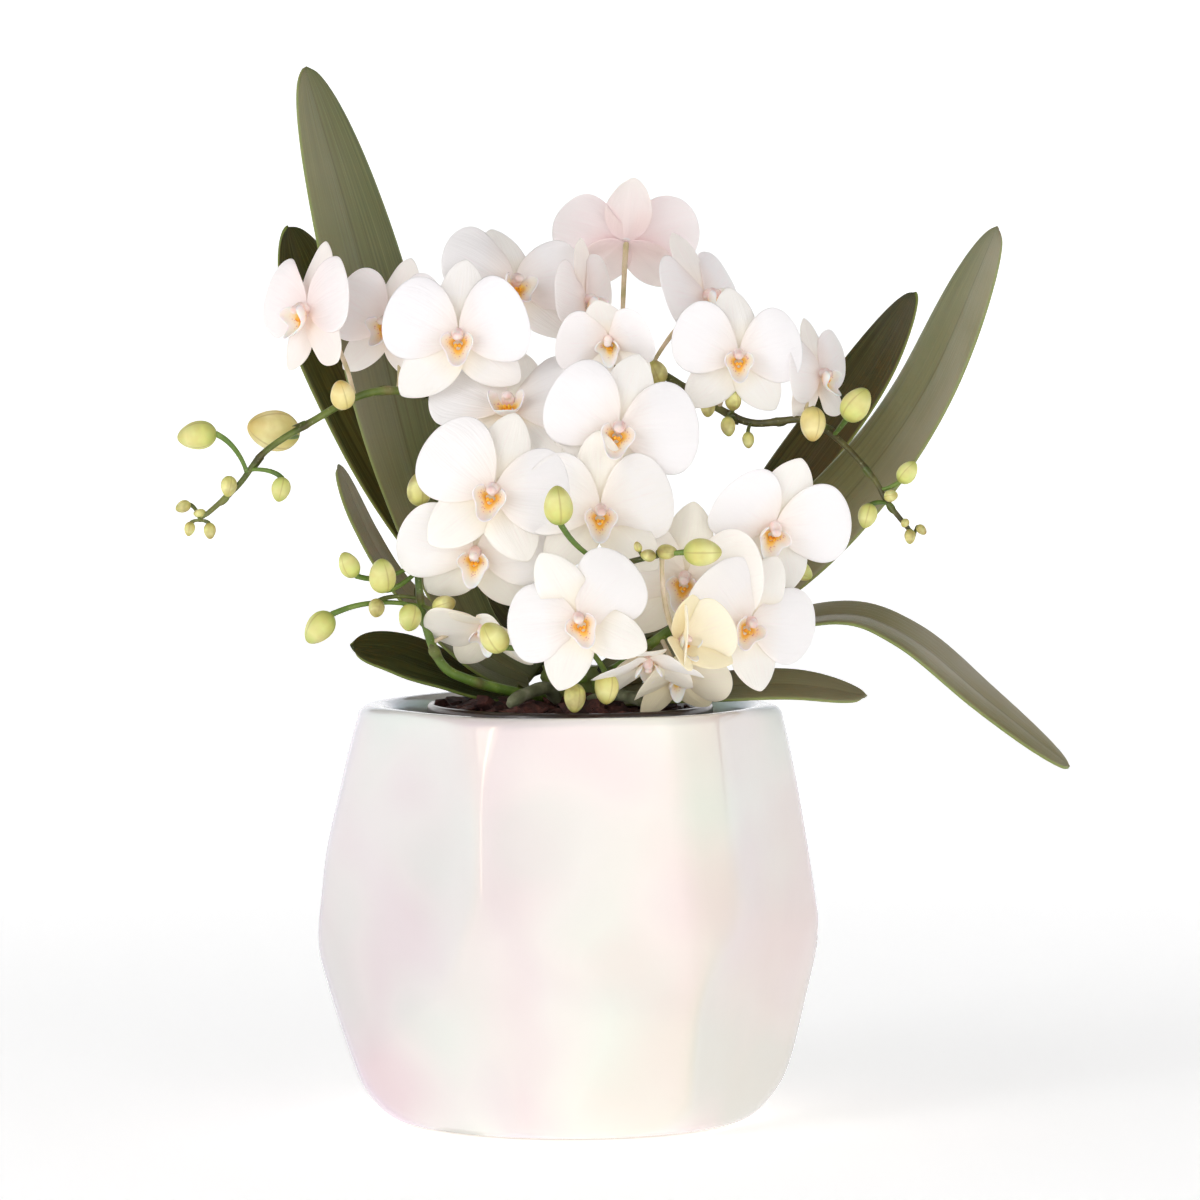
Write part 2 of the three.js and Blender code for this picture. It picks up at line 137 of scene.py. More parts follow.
def along(line, share):
    spot = min(max(share, 0), 1) * (len(line) - 1)
    i = min(int(spot), len(line) - 2)
    return line[i].lerp(line[i + 1], spot - i)


def heading(line, share):
    reach = 1.5 / len(line)
    return (along(line, share + reach) - along(line, share - reach)).normalized()


def uvLayer(bm):
    return bm.loops.layers.uv.get("UVMap") or bm.loops.layers.uv.new("UVMap")


def sweep(bm, line, radiusAt, sides, slot=0):  # a round bar along a line, closed at both ends
    steps = len(line) - 1
    uv = uvLayer(bm)
    forward = heading(line, 0)
    side = forward.orthogonal().normalized()
    ring = bmesh.ops.create_circle(bm, segments=sides, radius=1)["verts"]
    edges = list({edge for vert in ring for edge in vert.link_edges})
    last, faces = Matrix.Identity(4), []
    for i in range(steps + 1):
        forward = heading(line, i / steps)
        side = (side - forward * side.dot(forward)).normalized()
        radius = radiusAt(i / steps)
        axes = Matrix((side * radius, forward.cross(side) * radius, forward * radius)).transposed()
        here = Matrix.Translation(line[i]) @ axes.to_4x4()
        if i:
            grown = bmesh.ops.extrude_edge_only(bm, edges=edges)["geom"]
            ring = [item for item in grown if isinstance(item, bmesh.types.BMVert)]
            edges = [item for item in grown if isinstance(item, bmesh.types.BMEdge)]
            wall = [item for item in grown if isinstance(item, bmesh.types.BMFace)]
            for face in wall:
                for loop in face.loops:
                    loop[uv].uv = (0, i / steps)
            faces += wall
        bmesh.ops.transform(bm, matrix=here @ last.inverted(), verts=ring)
        last = here
        if i == 0 or i == steps:
            faces += bmesh.ops.contextual_create(bm, geom=edges)["faces"]
    for face in faces:
        face.material_index = slot
    bmesh.ops.recalc_face_normals(bm, faces=faces)
    return faces


def discSheet(bm, columns, rows, slot=0):  # a round sheet of four-sided faces: x and y run from -1 to 1
    uv = uvLayer(bm)
    made = bmesh.ops.create_grid(bm, x_segments=columns, y_segments=rows, size=1, calc_uvs=True)["verts"]
    faces = {face for vert in made for face in vert.link_faces}
    for face in faces:
        face.material_index = slot
        for loop in face.loops:
            loop[uv].uv = ((loop.vert.co.x + 1) / 2, (loop.vert.co.y + 1) / 2)
    for vert in made:
        x, y = vert.co.x, vert.co.y
        vert.co = (x * math.sqrt(1 - y * y / 2), y * math.sqrt(1 - x * x / 2), 0)
    return made, list(faces)


def facing(turn, lift, roll):  # turn 0 looks to -Y and 90 to +X, lift tilts up, roll spins, in degrees
    turn, lift, roll = math.radians(turn), math.radians(lift), math.radians(roll)
    look = Vector((math.sin(turn) * math.cos(lift), -math.cos(turn) * math.cos(lift), math.sin(lift)))
    up = (Vector((0, 0, 1)) - look * look.z).normalized()
    axes = Matrix((up.cross(look), up, look)).transposed()
    return axes @ Matrix.Rotation(roll, 3, "Z")


# helpers for materials
def colour(code):
    parts = [int(code[i:i + 2], 16) / 255 for i in (1, 3, 5)]
    return tuple(p / 12.92 if p <= 0.04045 else ((p + 0.055) / 1.055) ** 2.4 for p in parts) + (1,)


def put(tree, kind, links=None, inputs=None, **settings):  # adds a node with its settings, values and links
    added = tree.nodes.new(kind)
    for name, value in settings.items():
        setattr(added, name, value)
    for name, value in (inputs or {}).items():
        added.inputs[name].default_value = value
    for name, source in (links or {}).items():
        tree.links.new(source, added.inputs[name])
    return added


def ramp(tree, source, stops):
    added = put(tree, "ShaderNodeValToRGB", {"Fac": source})
    while len(added.color_ramp.elements) < len(stops):
        added.color_ramp.elements.new(0.5)
    for element, (place, code) in zip(added.color_ramp.elements, stops):
        element.position = place
        element.color = colour(code)
    return added.outputs["Color"]


def blend(tree, share, first, second, kind="MIX"):
    added = put(tree, "ShaderNodeMix", data_type="RGBA", blend_type=kind)
    for place, source in ((0, share), (6, first), (7, second)):
        if isinstance(source, bpy.types.NodeSocket):
            tree.links.new(source, added.inputs[place])
        else:
            added.inputs[place].default_value = source
    return added.outputs[2]


def reckon(tree, operation, first, second=0.0):
    added = put(tree, "ShaderNodeMath", operation=operation)
    for place, source in ((0, first), (1, second)):
        if isinstance(source, bpy.types.NodeSocket):
            tree.links.new(source, added.inputs[place])
        else:
            added.inputs[place].default_value = source
    return added.outputs[0]


def newMaterial(name, **values):
    made = bpy.data.materials.new(name)
    made.use_nodes = True
    tree = made.node_tree
    shader = tree.nodes["Principled BSDF"]
    for socket, value in values.items():
        shader.inputs[socket.replace("_", " ")].default_value = value
    return made, tree, shader


def noise(tree, source, millimetres, detail=3.0, roughness=0.5):
    return put(tree, "ShaderNodeTexNoise", {"Vector": source},
               {"Scale": 1000 / millimetres, "Detail": detail, "Roughness": roughness}).outputs["Fac"]


def bump(tree, shader, height, millimetres):
    made = put(tree, "ShaderNodeBump", {"Height": height}, {"Strength": 1.0, "Distance": millimetres * mm})
    tree.links.new(made.outputs["Normal"], shader.inputs["Normal"])


def objectPlace(tree):
    return put(tree, "ShaderNodeTexCoord").outputs["Object"]


def uvPlace(tree):
    return put(tree, "ShaderNodeUVMap", uv_map="UVMap").outputs["UV"]


def readShare(tree, name):
    return put(tree, "ShaderNodeAttribute", attribute_name=name).outputs["Fac"]


def veinNoise(tree, uv, across, lengthwise):  # noise drawn out along a leaf or petal
    stretched = put(tree, "ShaderNodeMapping", {"Vector": uv}, {"Scale": (across, lengthwise, 1)})
    return put(tree, "ShaderNodeTexNoise", {"Vector": stretched.outputs["Vector"]},
               {"Scale": 1.0, "Detail": 2.0}).outputs["Fac"]


# materials
def pearlGlaze():
    # Lustre-glazed earthenware, dipped and fired: a glossy white skin with faint pink, green and blue clouds,
    # partly its own tint and partly painted reflection of its lustre, and painted shade towards its left and
    # right sides.
    made, tree, shader = newMaterial("lustreGlazedEarthenware", Roughness=0.14, IOR=1.6,
                                     Thin_Film_Thickness=420.0, Thin_Film_IOR=1.45,
                                     Coat_Weight=0.5, Coat_Roughness=0.06)
    place = objectPlace(tree)
    across = put(tree, "ShaderNodeSeparateXYZ", {"Vector": place}).outputs["X"]
    drift = reckon(tree, "MULTIPLY", reckon(tree, "SUBTRACT", noise(tree, place, 70, 2.0), 0.5), 0.9)
    potWidth = 0.153
    where = reckon(tree, "ADD", reckon(tree, "MULTIPLY", across, 1 / potWidth), drift)
    # painted shade: darker and pinker towards the pot's left and right sides, lightest in the middle, over the
    # glaze's own pale pink
    tint = ramp(tree, reckon(tree, "ADD", where, 0.5), [(0.0, "#dec8cd"), (0.26, "#e7dbdd"),
                                                        (0.45, "#f1eeea"),
                                                        (0.6, "#f3f1ea"), (0.75, "#f3e4de"),
                                                        (1.0, "#f0dacf")])
    # pastel clouds: partly the glaze's own tint, partly painted reflection of its lustre
    clouds = ramp(tree, noise(tree, place, 45, 1.0), [(0.36, "#efd6de"), (0.5, "#f3efea"), (0.64, "#def0e4")])
    tree.links.new(blend(tree, 0.28, tint, clouds), shader.inputs["Base Color"])
    fine = reckon(tree, "MULTIPLY", noise(tree, place, 2.2, 1.0), 0.12)
    ripple = reckon(tree, "ADD", noise(tree, place, 14, 1.0), fine)
    bump(tree, shader, ripple, 0.16)
    return made


def biscuitFoot():
    # Unglazed fired clay, wiped clean before firing: dull and slightly gritty.
    made, tree, shader = newMaterial("unglazedEarthenware", Roughness=0.85)
    grit = noise(tree, objectPlace(tree), 0.8, 4.0)
    tree.links.new(ramp(tree, grit, [(0.3, "#cfc2b4"), (0.7, "#e4dacd")]), shader.inputs["Base Color"])
    bump(tree, shader, grit, 0.12)
    return made


def nurseryPlastic():
    # Thermoformed polypropylene, smoked and translucent, so the wet bark inside makes it look dark brown.
    made, tree, shader = newMaterial("smokedPolypropylene", Roughness=0.28, Coat_Weight=0.3)
    place = objectPlace(tree)
    cast = noise(tree, place, 12, 4.0)
    tone = ramp(tree, cast, [(0.35, "#1f1210"), (0.55, "#33201b"), (0.75, "#4a2f27")])
    tree.links.new(tone, shader.inputs["Base Color"])
    bump(tree, shader, noise(tree, place, 5, 1.0), 0.1)
    return made


def pineBark():
    # Composted pine bark, broken into chips: reddish brown, fibrous and matt.
    made, tree, shader = newMaterial("pineBark", Roughness=0.85)
    place = objectPlace(tree)
    grain = noise(tree, place, 3.0, 5.0, 0.65)
    tone = ramp(tree, grain, [(0.25, "#1d0f0e"), (0.45, "#3d1f1c"), (0.6, "#5c322b"), (0.8, "#93685c")])
    chip = ramp(tree, readShare(tree, "chipTone"), [(0.0, "#5a3a34"), (0.5, "#c2a79d"), (1.0, "#f0dcd2")])
    tree.links.new(blend(tree, 0.55, tone, chip, "MULTIPLY"), shader.inputs["Base Color"])
    bump(tree, shader, grain, 0.5)
    return made


def leafTop():
    # Living leaf under a wax skin: dark green with fine lengthwise veins, a pale edge and a grooved midrib.
    made, tree, shader = newMaterial("waxyLeafUpper", Roughness=0.34, Specular_IOR_Level=0.42,
                                     Coat_Weight=0.08, Coat_Roughness=0.25, Subsurface_Weight=0.05)
    uv, place = uvPlace(tree), objectPlace(tree)
    split = put(tree, "ShaderNodeSeparateXYZ", {"Vector": uv})
    across = reckon(tree, "ABSOLUTE", reckon(tree, "SUBTRACT", split.outputs["X"], 0.5))
    veins = veinNoise(tree, uv, 46, 3)
    tone = ramp(tree, veins, [(0.3, "#445628"), (0.5, "#556634"), (0.7, "#687642")])
    # painted shade: a darker copy of the leaf colour, mixed in by depth, which also lowers the specular level
    dark = ramp(tree, veins, [(0.3, "#1b2410"), (0.5, "#262f18"), (0.7, "#334122")])
    # painted sheen: a grey reflection colour mixed into the leaf colour by the piece's sheen share
    paintedSheenTone = ramp(tree, noise(tree, place, 50, 2.0), [(0.35, "#7a7b57"), (0.55, "#8e8c70"), (0.75, "#9a9786")])
    depth = readShare(tree, "depth")
    tree.links.new(reckon(tree, "SUBTRACT", 0.42, reckon(tree, "MULTIPLY", depth, 0.26)),
                   shader.inputs["Specular IOR Level"])
    body = blend(tree, depth, tone, dark)
    body = blend(tree, readShare(tree, "paintedSheen"), body, paintedSheenTone)
    edge = ramp(tree, across, [(0.462, "#000000"), (0.49, "#ffffff")])
    # painted shade: the midrib groove is painted darker
    midribShade = ramp(tree, across, [(0.0, "#ffffff"), (0.02, "#000000")])
    body = blend(tree, reckon(tree, "MULTIPLY", edge, 0.7), body, colour("#7d8f45"))
    body = blend(tree, reckon(tree, "MULTIPLY", midribShade, 0.4), body, colour("#2b331a"))
    tree.links.new(body, shader.inputs["Base Color"])
    height = reckon(tree, "ADD", reckon(tree, "MULTIPLY", veins, 0.5), noise(tree, place, 9, 2.0))
    bump(tree, shader, height, 0.35)
    return made


def leafBack():
    # The leaf's underside: the same skin, paler and greyer, with a keel along the midrib.
    made, tree, shader = newMaterial("waxyLeafUnder", Roughness=0.45, Specular_IOR_Level=0.5,
                                     Subsurface_Weight=0.05)
    uv, place = uvPlace(tree), objectPlace(tree)
    split = put(tree, "ShaderNodeSeparateXYZ", {"Vector": uv})
    across = reckon(tree, "ABSOLUTE", reckon(tree, "SUBTRACT", split.outputs["X"], 0.5))
    veins = veinNoise(tree, uv, 40, 3)
    tone = ramp(tree, veins, [(0.3, "#4c5a2e"), (0.5, "#5e6b3a"), (0.7, "#737d49")])
    # painted sheen: a grey reflection colour mixed into the underside's colour by the piece's sheen share
    paintedSheenTone = ramp(tree, noise(tree, place, 45, 2.0), [(0.35, "#6c6a45"), (0.65, "#827f5c")])
    body = blend(tree, readShare(tree, "paintedSheen"), tone, paintedSheenTone)
    edge = ramp(tree, across, [(0.455, "#000000"), (0.49, "#ffffff")])
    body = blend(tree, reckon(tree, "MULTIPLY", edge, 0.6), body, colour("#7d8f45"))
    tree.links.new(body, shader.inputs["Base Color"])
    bump(tree, shader, veins, 0.2)
    return made


def petalSkin(name, pale, warmTone, baseCreamAndGlow):
    # Living petal: matt white tissue that lets light through, with faint veins and a warmer base, partly its
    # own cream and partly a painted glow of light through the shaded base.
    made, tree, shader = newMaterial(name, Roughness=0.55, Specular_IOR_Level=0.3, Subsurface_Weight=0.35,
                                     Subsurface_Scale=0.004, Sheen_Weight=0.08, Sheen_Roughness=0.4)
    shader.inputs["Subsurface Radius"].default_value = (1.0, 0.96, 0.98)
    uv = uvPlace(tree)
    split = put(tree, "ShaderNodeSeparateXYZ", {"Vector": uv})
    veins = veinNoise(tree, uv, 26, 2.2)
    # warmer towards the base: partly the petal's own cream, partly a painted glow of light through the shaded
    # base
    spread = blend(tree, ramp(tree, split.outputs["Y"], [(0.05, "#ffffff"), (0.55, "#000000")]),
                   colour(pale), colour(baseCreamAndGlow))
    warm = blend(tree, readShare(tree, "warmth"), spread, colour(warmTone))
    tipped = ramp(tree, split.outputs["Y"], [(0.0, "#ffffff"), (1.0, "#8c8c8c")])
    warm = blend(tree, reckon(tree, "MULTIPLY", readShare(tree, "blush"), tipped), warm, colour("#f6dcdd"))
    lines = reckon(tree, "MULTIPLY", ramp(tree, veins, [(0.5, "#000000"), (0.75, "#ffffff")]), 0.12)
    veined = blend(tree, lines, warm, colour("#f0d3da"))
    tree.links.new(veined, shader.inputs["Base Color"])
    tree.links.new(veined, shader.inputs["Emission Color"])
    shader.inputs["Emission Strength"].default_value = 0.06  # stands in for light passed on by other petals
    bump(tree, shader, veins, 0.12)
    return made


def lipSkin():
    # The lip's thicker tissue: cream turning yellow at the throat, dusted with small magenta spots.
    made, tree, shader = newMaterial("lipTissue", Roughness=0.5, Specular_IOR_Level=0.35,
                                     Subsurface_Weight=0.3,
                                     Subsurface_Scale=0.003)
    uv, place = uvPlace(tree), objectPlace(tree)
    split = put(tree, "ShaderNodeSeparateXYZ", {"Vector": uv})
    body = ramp(tree, split.outputs["Y"], [(0.1, "#ffb030"), (0.26, "#ffcf6a"), (0.4, "#fde3bf"),
                                           (0.62, "#fcefe4"),
                                           (1.0, "#fdf8f8")])
    dots = put(tree, "ShaderNodeTexVoronoi", {"Vector": place}, {"Scale": 1000 / 0.8}).outputs["Distance"]
    spot = ramp(tree, dots, [(0.22, "#ffffff"), (0.34, "#000000")])
    zone = ramp(tree, split.outputs["Y"], [(0.2, "#000000"), (0.34, "#ffffff"), (0.45, "#ffffff"),
                                           (0.58, "#000000")])
    dusting = reckon(tree, "MULTIPLY", spot, reckon(tree, "MULTIPLY", zone, 0.6))
    body = blend(tree, dusting, body, colour("#c86fa0"))
    tree.links.new(body, shader.inputs["Base Color"])
    return made


def callusSkin():
    # The callus in the throat: waxy, egg-yolk yellow with fine orange freckles.
    made, tree, shader = newMaterial("callusTissue", Roughness=0.35, Specular_IOR_Level=0.5,
                                     Subsurface_Weight=0.2,
                                     Subsurface_Scale=0.002)
    freckle = noise(tree, objectPlace(tree), 0.9, 2.0)
    tone = ramp(tree, freckle, [(0.35, "#f2951c"), (0.5, "#ffb42c"), (0.7, "#ffd04e")])
    tree.links.new(tone, shader.inputs["Base Color"])
    bump(tree, shader, freckle, 0.2)
    return made


def columnSkin():
    # The column: firm and smooth, pinkish white.
    made, tree, shader = newMaterial("columnTissue", Roughness=0.42, Specular_IOR_Level=0.4,
                                     Subsurface_Weight=0.3,
                                     Subsurface_Scale=0.003)
    shade = noise(tree, objectPlace(tree), 2.5, 2.0)
    tree.links.new(ramp(tree, shade, [(0.35, "#f2cfc6"), (0.65, "#fbe9e4")]), shader.inputs["Base Color"])
    return made


def stemSkin(name, fresh, dark):
    # Young stem: smooth green skin, browned where it is older, with small pale specks.
    made, tree, shader = newMaterial(name, Roughness=0.42, Specular_IOR_Level=0.5, Subsurface_Weight=0.1,
                                     Subsurface_Scale=0.002)
    place = objectPlace(tree)
    mottle = noise(tree, place, 7, 4.0)
    young = ramp(tree, mottle, fresh)
    old = ramp(tree, mottle, dark)
    body = blend(tree, readShare(tree, "age"), young, old)
    speck = ramp(tree, noise(tree, place, 0.9, 1.0), [(0.66, "#000000"), (0.74, "#ffffff")])
    body = blend(tree, reckon(tree, "MULTIPLY", speck, 0.3), body, colour("#b9b48a"))
    tree.links.new(body, shader.inputs["Base Color"])
    bump(tree, shader, mottle, 0.15)
    return made


def budSkin(name, flush, amount):
    # Closed bud: waxy sepals pressed together, green when young and butter yellow when ripe.
    made, tree, shader = newMaterial(name, Roughness=0.4, Specular_IOR_Level=0.45, Subsurface_Weight=0.2,
                                     Subsurface_Scale=0.003)
    uv, place = uvPlace(tree), objectPlace(tree)
    split = put(tree, "ShaderNodeSeparateXYZ", {"Vector": uv})
    green = ramp(tree, split.outputs["Y"], [(0.0, "#93ad4a"), (0.3, "#d3dc7c"), (0.75, "#e2e596"),
                                            (1.0, "#a9bb5c")])
    ripe = ramp(tree, split.outputs["Y"], [(0.0, "#cdb868"), (0.3, "#f0dc8e"), (0.75, "#f9ebae"),
                                           (1.0, "#dcb968")])
    body = blend(tree, readShare(tree, "ripeness"), green, ripe)
    blush = ramp(tree, noise(tree, place, 4, 2.0), [(0.35, "#000000"), (0.75, "#ffffff")])
    body = blend(tree, reckon(tree, "MULTIPLY", blush, amount), body, colour(flush))
    thirds = reckon(tree, "MULTIPLY", split.outputs["X"], 3 * math.pi)
    seam = reckon(tree, "ABSOLUTE", reckon(tree, "SINE", thirds))
    line = ramp(tree, seam, [(0.0, "#ffffff"), (0.16, "#000000")])
    body = blend(tree, reckon(tree, "MULTIPLY", line, 0.45), body, colour("#a58a4a"))
    tree.links.new(body, shader.inputs["Base Color"])
    bump(tree, shader, noise(tree, place, 1.4, 2.0), 0.08)
    return made


def rootSkin():
    # Velamen, the spongy skin of an aerial root: silvery grey-green with brown scuffs.
    made, tree, shader = newMaterial("rootVelamen", Roughness=0.75)
    place = objectPlace(tree)
    scuff = noise(tree, place, 6, 4.0)
    tone = ramp(tree, scuff, [(0.3, "#4b4a33"), (0.5, "#6f7458"), (0.7, "#98997f")])
    tree.links.new(tone, shader.inputs["Base Color"])
    bump(tree, shader, noise(tree, place, 1.6, 4.0), 0.3)
    return made


glaze, foot = pearlGlaze(), biscuitFoot()
plastic, barkSkin = nurseryPlastic(), pineBark()
leafUpper, leafUnder = leafTop(), leafBack()
petal = petalSkin("petalTissue", "#fffcff", "#fdf2d4", "#fdf1ea")
sepal = petalSkin("sepalTissue", "#fefaf5", "#faebbe", "#fcefd6")
lip, callus, column = lipSkin(), callusSkin(), columnSkin()
stem = stemSkin("spikeSkin", [(0.3, "#4f6f26"), (0.5, "#66882f"), (0.7, "#84a048")],
                [(0.3, "#3f3a1c"), (0.5, "#5d5a2c"), (0.7, "#7d7a45")])
stalk = stemSkin("stalkSkin", [(0.3, "#b9b07e"), (0.5, "#d8c6a4"), (0.7, "#eedccb")],
                 [(0.3, "#8a7a45"), (0.5, "#b09f68"), (0.7, "#cbb98a")])
bud, root = budSkin("budSepal", "#c9b062", 0.4), rootSkin()
youngBud = budSkin("youngBudSepal", "#8a7440", 0.8)
print("materials made")


# glazed pot: profile and wall are radius and height, rim is radius and height over the rim's top, in mm;
# each facet is its turn and lean, in degrees, and its distance from the axis as a share of the belly
potShape = {
    "profile": [(50, 0), (55, 1.5), (60, 6), (65.5, 14), (70.6, 27), (73.5, 40), (75.7, 49), (76.5, 56),
                (76.3, 61),
                (75.5, 66), (73.6, 80), (70, 96), (66.6, 111), (64, 121)],
    "facets": [(-81.5, 5.4, 0.835), (-52, 8, 0.915), (-28, 8.5, 0.89), (22, 8, 0.9), (66, 6, 0.85),
               (108, 6.5, 0.86),
               (150, 5.5, 0.86), (-143, 3, 0.81), (-110, -10, 0.905), (-84, -17, 0.935), (-128, -18, 0.93),
               (-172, -16.7, 1.03), (-30, -11, 0.87), (6, -13, 1.0), (44, -14, 0.93), (87, -16, 0.92),
               (127, -15, 0.93)],
    "rim": [(58.2, 0.05), (56.6, -0.25), (55, -1.2), (54.2, -3)],
    "wall": [(54, 118), (53, 100), (52, 80), (51, 55), (50, 30), (49.4, 18), (47.5, 13.5), (44, 12)],
    "belly": 76.5, "level": 60, "rimTop": 125, "lip": 4, "mouth": 54, "soften": 0.8, "steps": 200,
}


def facetedRadius(turn, z, turned):  # the turned radius, or the nearest facet's where it cuts deeper
    nearest, cuts = turned, [turned]
    for turnAt, lean, reach in potShape["facets"]:
        swing = math.cos(turn - math.radians(turnAt))
        if swing > 0.2:
            slope = math.tan(math.radians(lean))
            cuts.append((reach * potShape["belly"] - (z - potShape["level"]) * slope) / swing)
            nearest = min(nearest, cuts[-1])
    soft = potShape["soften"]
    return nearest - soft * math.log(sum(math.exp((nearest - cut) / soft) for cut in cuts)) + 0.25 * soft


def addPot():
    size = potShape
    top, lip, mouth = size["rimTop"], size["lip"], size["mouth"]
    shoulder, footEdge, shoulderEdge = top - lip, size["profile"][0][0], size["profile"][-1][0]
    outer = [(p.x, p.z) for p in pathThrough([(r, 0, z) for r, z in size["profile"]], 84)]
    lipTurns = [math.radians(8 + 82 * i / 6) for i in range(7)]
    lipRound = [(shoulderEdge - lip + lip * math.cos(a), shoulder + lip * math.sin(a)) for a in lipTurns]
    rim = [(r, top + rise) for r, rise in size["rim"]]
    inner = [(p.x, p.z) for p in pathThrough([(r, 0, z) for r, z in size["wall"]], 30)]
    profile = outer + lipRound[1:] + rim + inner
    bm = bmesh.new()
    verts = [bm.verts.new((r * mm, 0, z * mm)) for r, z in profile]
    edges = [bm.edges.new(pair) for pair in zip(verts, verts[1:])]
    bmesh.ops.spin(bm, geom=verts + edges, angle=math.tau, steps=size["steps"], axis=(0, 0, 1),
                   cent=(0, 0, 0),
                   use_merge=True)
    bmesh.ops.remove_doubles(bm, verts=bm.verts[:], dist=1e-6)
    ends = [edge for edge in bm.edges if edge.is_boundary]
    bmesh.ops.holes_fill(bm, edges=ends, sides=0)
    for face in bm.faces:
        if len(face.verts) > 4:
            bmesh.ops.inset_region(bm, faces=[face], thickness=6 * mm, use_even_offset=True)
    for vert in bm.verts:
        r, z = math.hypot(vert.co.x, vert.co.y) / mm, vert.co.z / mm
        if r < mouth + 0.5 or z < 0.01 and r < footEdge - 1:  # the well and the foot's middle stay round
            continue
        turn = math.atan2(vert.co.y, vert.co.x)
        if z > shoulder:  # the lip: its inner edge stays round and its outer edge follows the facets
            edge = facetedRadius(turn, shoulder, max(r, shoulderEdge))
            share = min(max((r - mouth) / (shoulderEdge - mouth), 0), 1)
            r = mouth + (edge - mouth) * share
        else:
            r = facetedRadius(turn, z, r)
        vert.co.x, vert.co.y = r * mm * math.cos(turn), r * mm * math.sin(turn)
    bmesh.ops.recalc_face_normals(bm, faces=bm.faces[:])
    for face in bm.faces:
        if face.calc_center_median().z < 0.2 * mm:
            face.material_index = 1
    pot = toObject("glazedPot", bm, [glaze, foot])
    settle(pot, "pot")


addPot()
print("pot made")


# nursery pot
nurseryShape = {"rim": 43, "foot": 34, "lip": 2.2, "wall": 0.9, "base": 12.3, "top": 125.2, "steps": 96}


def addNurseryPot():
    size = nurseryShape
    rim, base, top, wall = size["rim"], size["base"], size["top"], size["wall"]
    slope = (rim - size["lip"] - size["foot"]) / (top - base)

    def radiusAt(z):
        return size["foot"] + slope * (z - base)

    up = [(size["foot"] - 2, base), (size["foot"] - 0.5, base + 0.4)]
    up += [(radiusAt(z), z) for z in (base + 2, 30, 50, 70, 90, 105, 112)]
    up += [(radiusAt(114) + 0.9, 114.2), (radiusAt(118) + 1.0, 118), (rim - 1.6, top - 4.5),
           (rim - 0.6, top - 4.1)]
    up += [(rim, top - 3.4), (rim, top - 1), (rim - 0.5, top - 0.25), (rim - 1.3, top),
           (rim - 2.1, top - 0.35)]
    down = [(radiusAt(z) - wall, z) for z in (top - 3, 112, 90, 60, 30, base + 2.5)]
    down += [(size["foot"] - 3, base + wall + 0.2), (12, base + wall)]
    bm = bmesh.new()
    verts = [bm.verts.new((r * mm, 0, z * mm)) for r, z in up + down]
    edges = [bm.edges.new(pair) for pair in zip(verts, verts[1:])]
    bmesh.ops.spin(bm, geom=verts + edges, angle=math.tau, steps=size["steps"], axis=(0, 0, 1),
                   cent=(0, 0, 0),
                   use_merge=True)
    bmesh.ops.remove_doubles(bm, verts=bm.verts[:], dist=1e-6)
    bmesh.ops.holes_fill(bm, edges=[edge for edge in bm.edges if edge.is_boundary], sides=0)
    bmesh.ops.recalc_face_normals(bm, faces=bm.faces[:])
    nursery = toObject("nurseryPot", bm, [plastic])
    settle(nursery, "nursery_pot")


addNurseryPot()
print("nursery pot made")


# bark
barkShape = {"chips": 360, "seed": 11, "longest": 14, "top": 127.5, "reach": 38.5,
             "fillFoot": 35, "fillTop": 38.4, "fillDepth": 74, "fillMiddle": 84}


def addBark():
    size, draw = barkShape, random.Random(barkShape["seed"])
    bm = bmesh.new()
    for i in range(size["chips"]):
        piece = bmesh.new()
        bmesh.ops.create_cube(piece, size=1)
        bmesh.ops.subdivide_edges(piece, edges=piece.edges[:], cuts=1, use_grid_fill=True)
        long = size["longest"] * draw.uniform(0.45, 1) * (1 if i % 3 else 0.55)
        wide, thick = long * draw.uniform(0.45, 0.8), long * draw.uniform(0.16, 0.38)
        for vert in piece.verts:
            ruggedness = Vector([draw.uniform(0.72, 1.12) for _ in range(3)])
            rounded = vert.co.normalized() * 0.62 if vert.co.length > 0.7 else vert.co
            vert.co = Vector((rounded.x * ruggedness.x * long, rounded.y * ruggedness.y * wide,
                              rounded.z * ruggedness.z * thick))
        reach, turn = size["reach"] * math.sqrt(draw.random()), draw.uniform(0, math.tau)
        dome = size["top"] - 1.5 - 3.5 * (reach / size["reach"]) ** 3
        turnBy = Matrix.Rotation(draw.uniform(0, math.tau), 4, "Z")
        turnBy = turnBy @ Matrix.Rotation(draw.uniform(-0.65, 0.65), 4, "X")
        turnBy = turnBy @ Matrix.Rotation(draw.uniform(-0.6, 0.6), 4, "Y")
        place = Matrix.Translation((reach * math.cos(turn), reach * math.sin(turn),
                                    dome + draw.uniform(-3.5, 0.6)))
        bmesh.ops.transform(piece, matrix=Matrix.Scale(mm, 4) @ place @ turnBy, verts=piece.verts)
        spare = bpy.data.meshes.new("chip")
        piece.to_mesh(spare)
        piece.free()
        before = len(bm.verts)
        bm.from_mesh(spare)
        bpy.data.meshes.remove(spare)
        bm.verts.ensure_lookup_table()
        tone = bm.verts.layers.float.get("chipTone") or bm.verts.layers.float.new("chipTone")
        shade = draw.random()
        for vert in bm.verts[before:]:
            vert[tone] = shade
    chips = toObject("barkChips", bm, [barkSkin], smooth=False)
    settle(chips, "bark")
    filler = bmesh.new()
    bmesh.ops.create_cone(filler, cap_ends=True, cap_tris=False, segments=64, radius1=size["fillFoot"] * mm,
                          radius2=size["fillTop"] * mm, depth=size["fillDepth"] * mm,
                          matrix=Matrix.Translation((0, 0, size["fillMiddle"] * mm)))
    bmesh.ops.bevel(filler, geom=[edge for edge in filler.edges if edge.calc_face_angle(0) > 1],
                    offset=2 * mm,
                    segments=3, profile=0.5, affect="EDGES", material=-1)
    fill = toObject("barkFill", filler, [barkSkin])
    settle(fill, "bark")


addBark()
print("bark made")
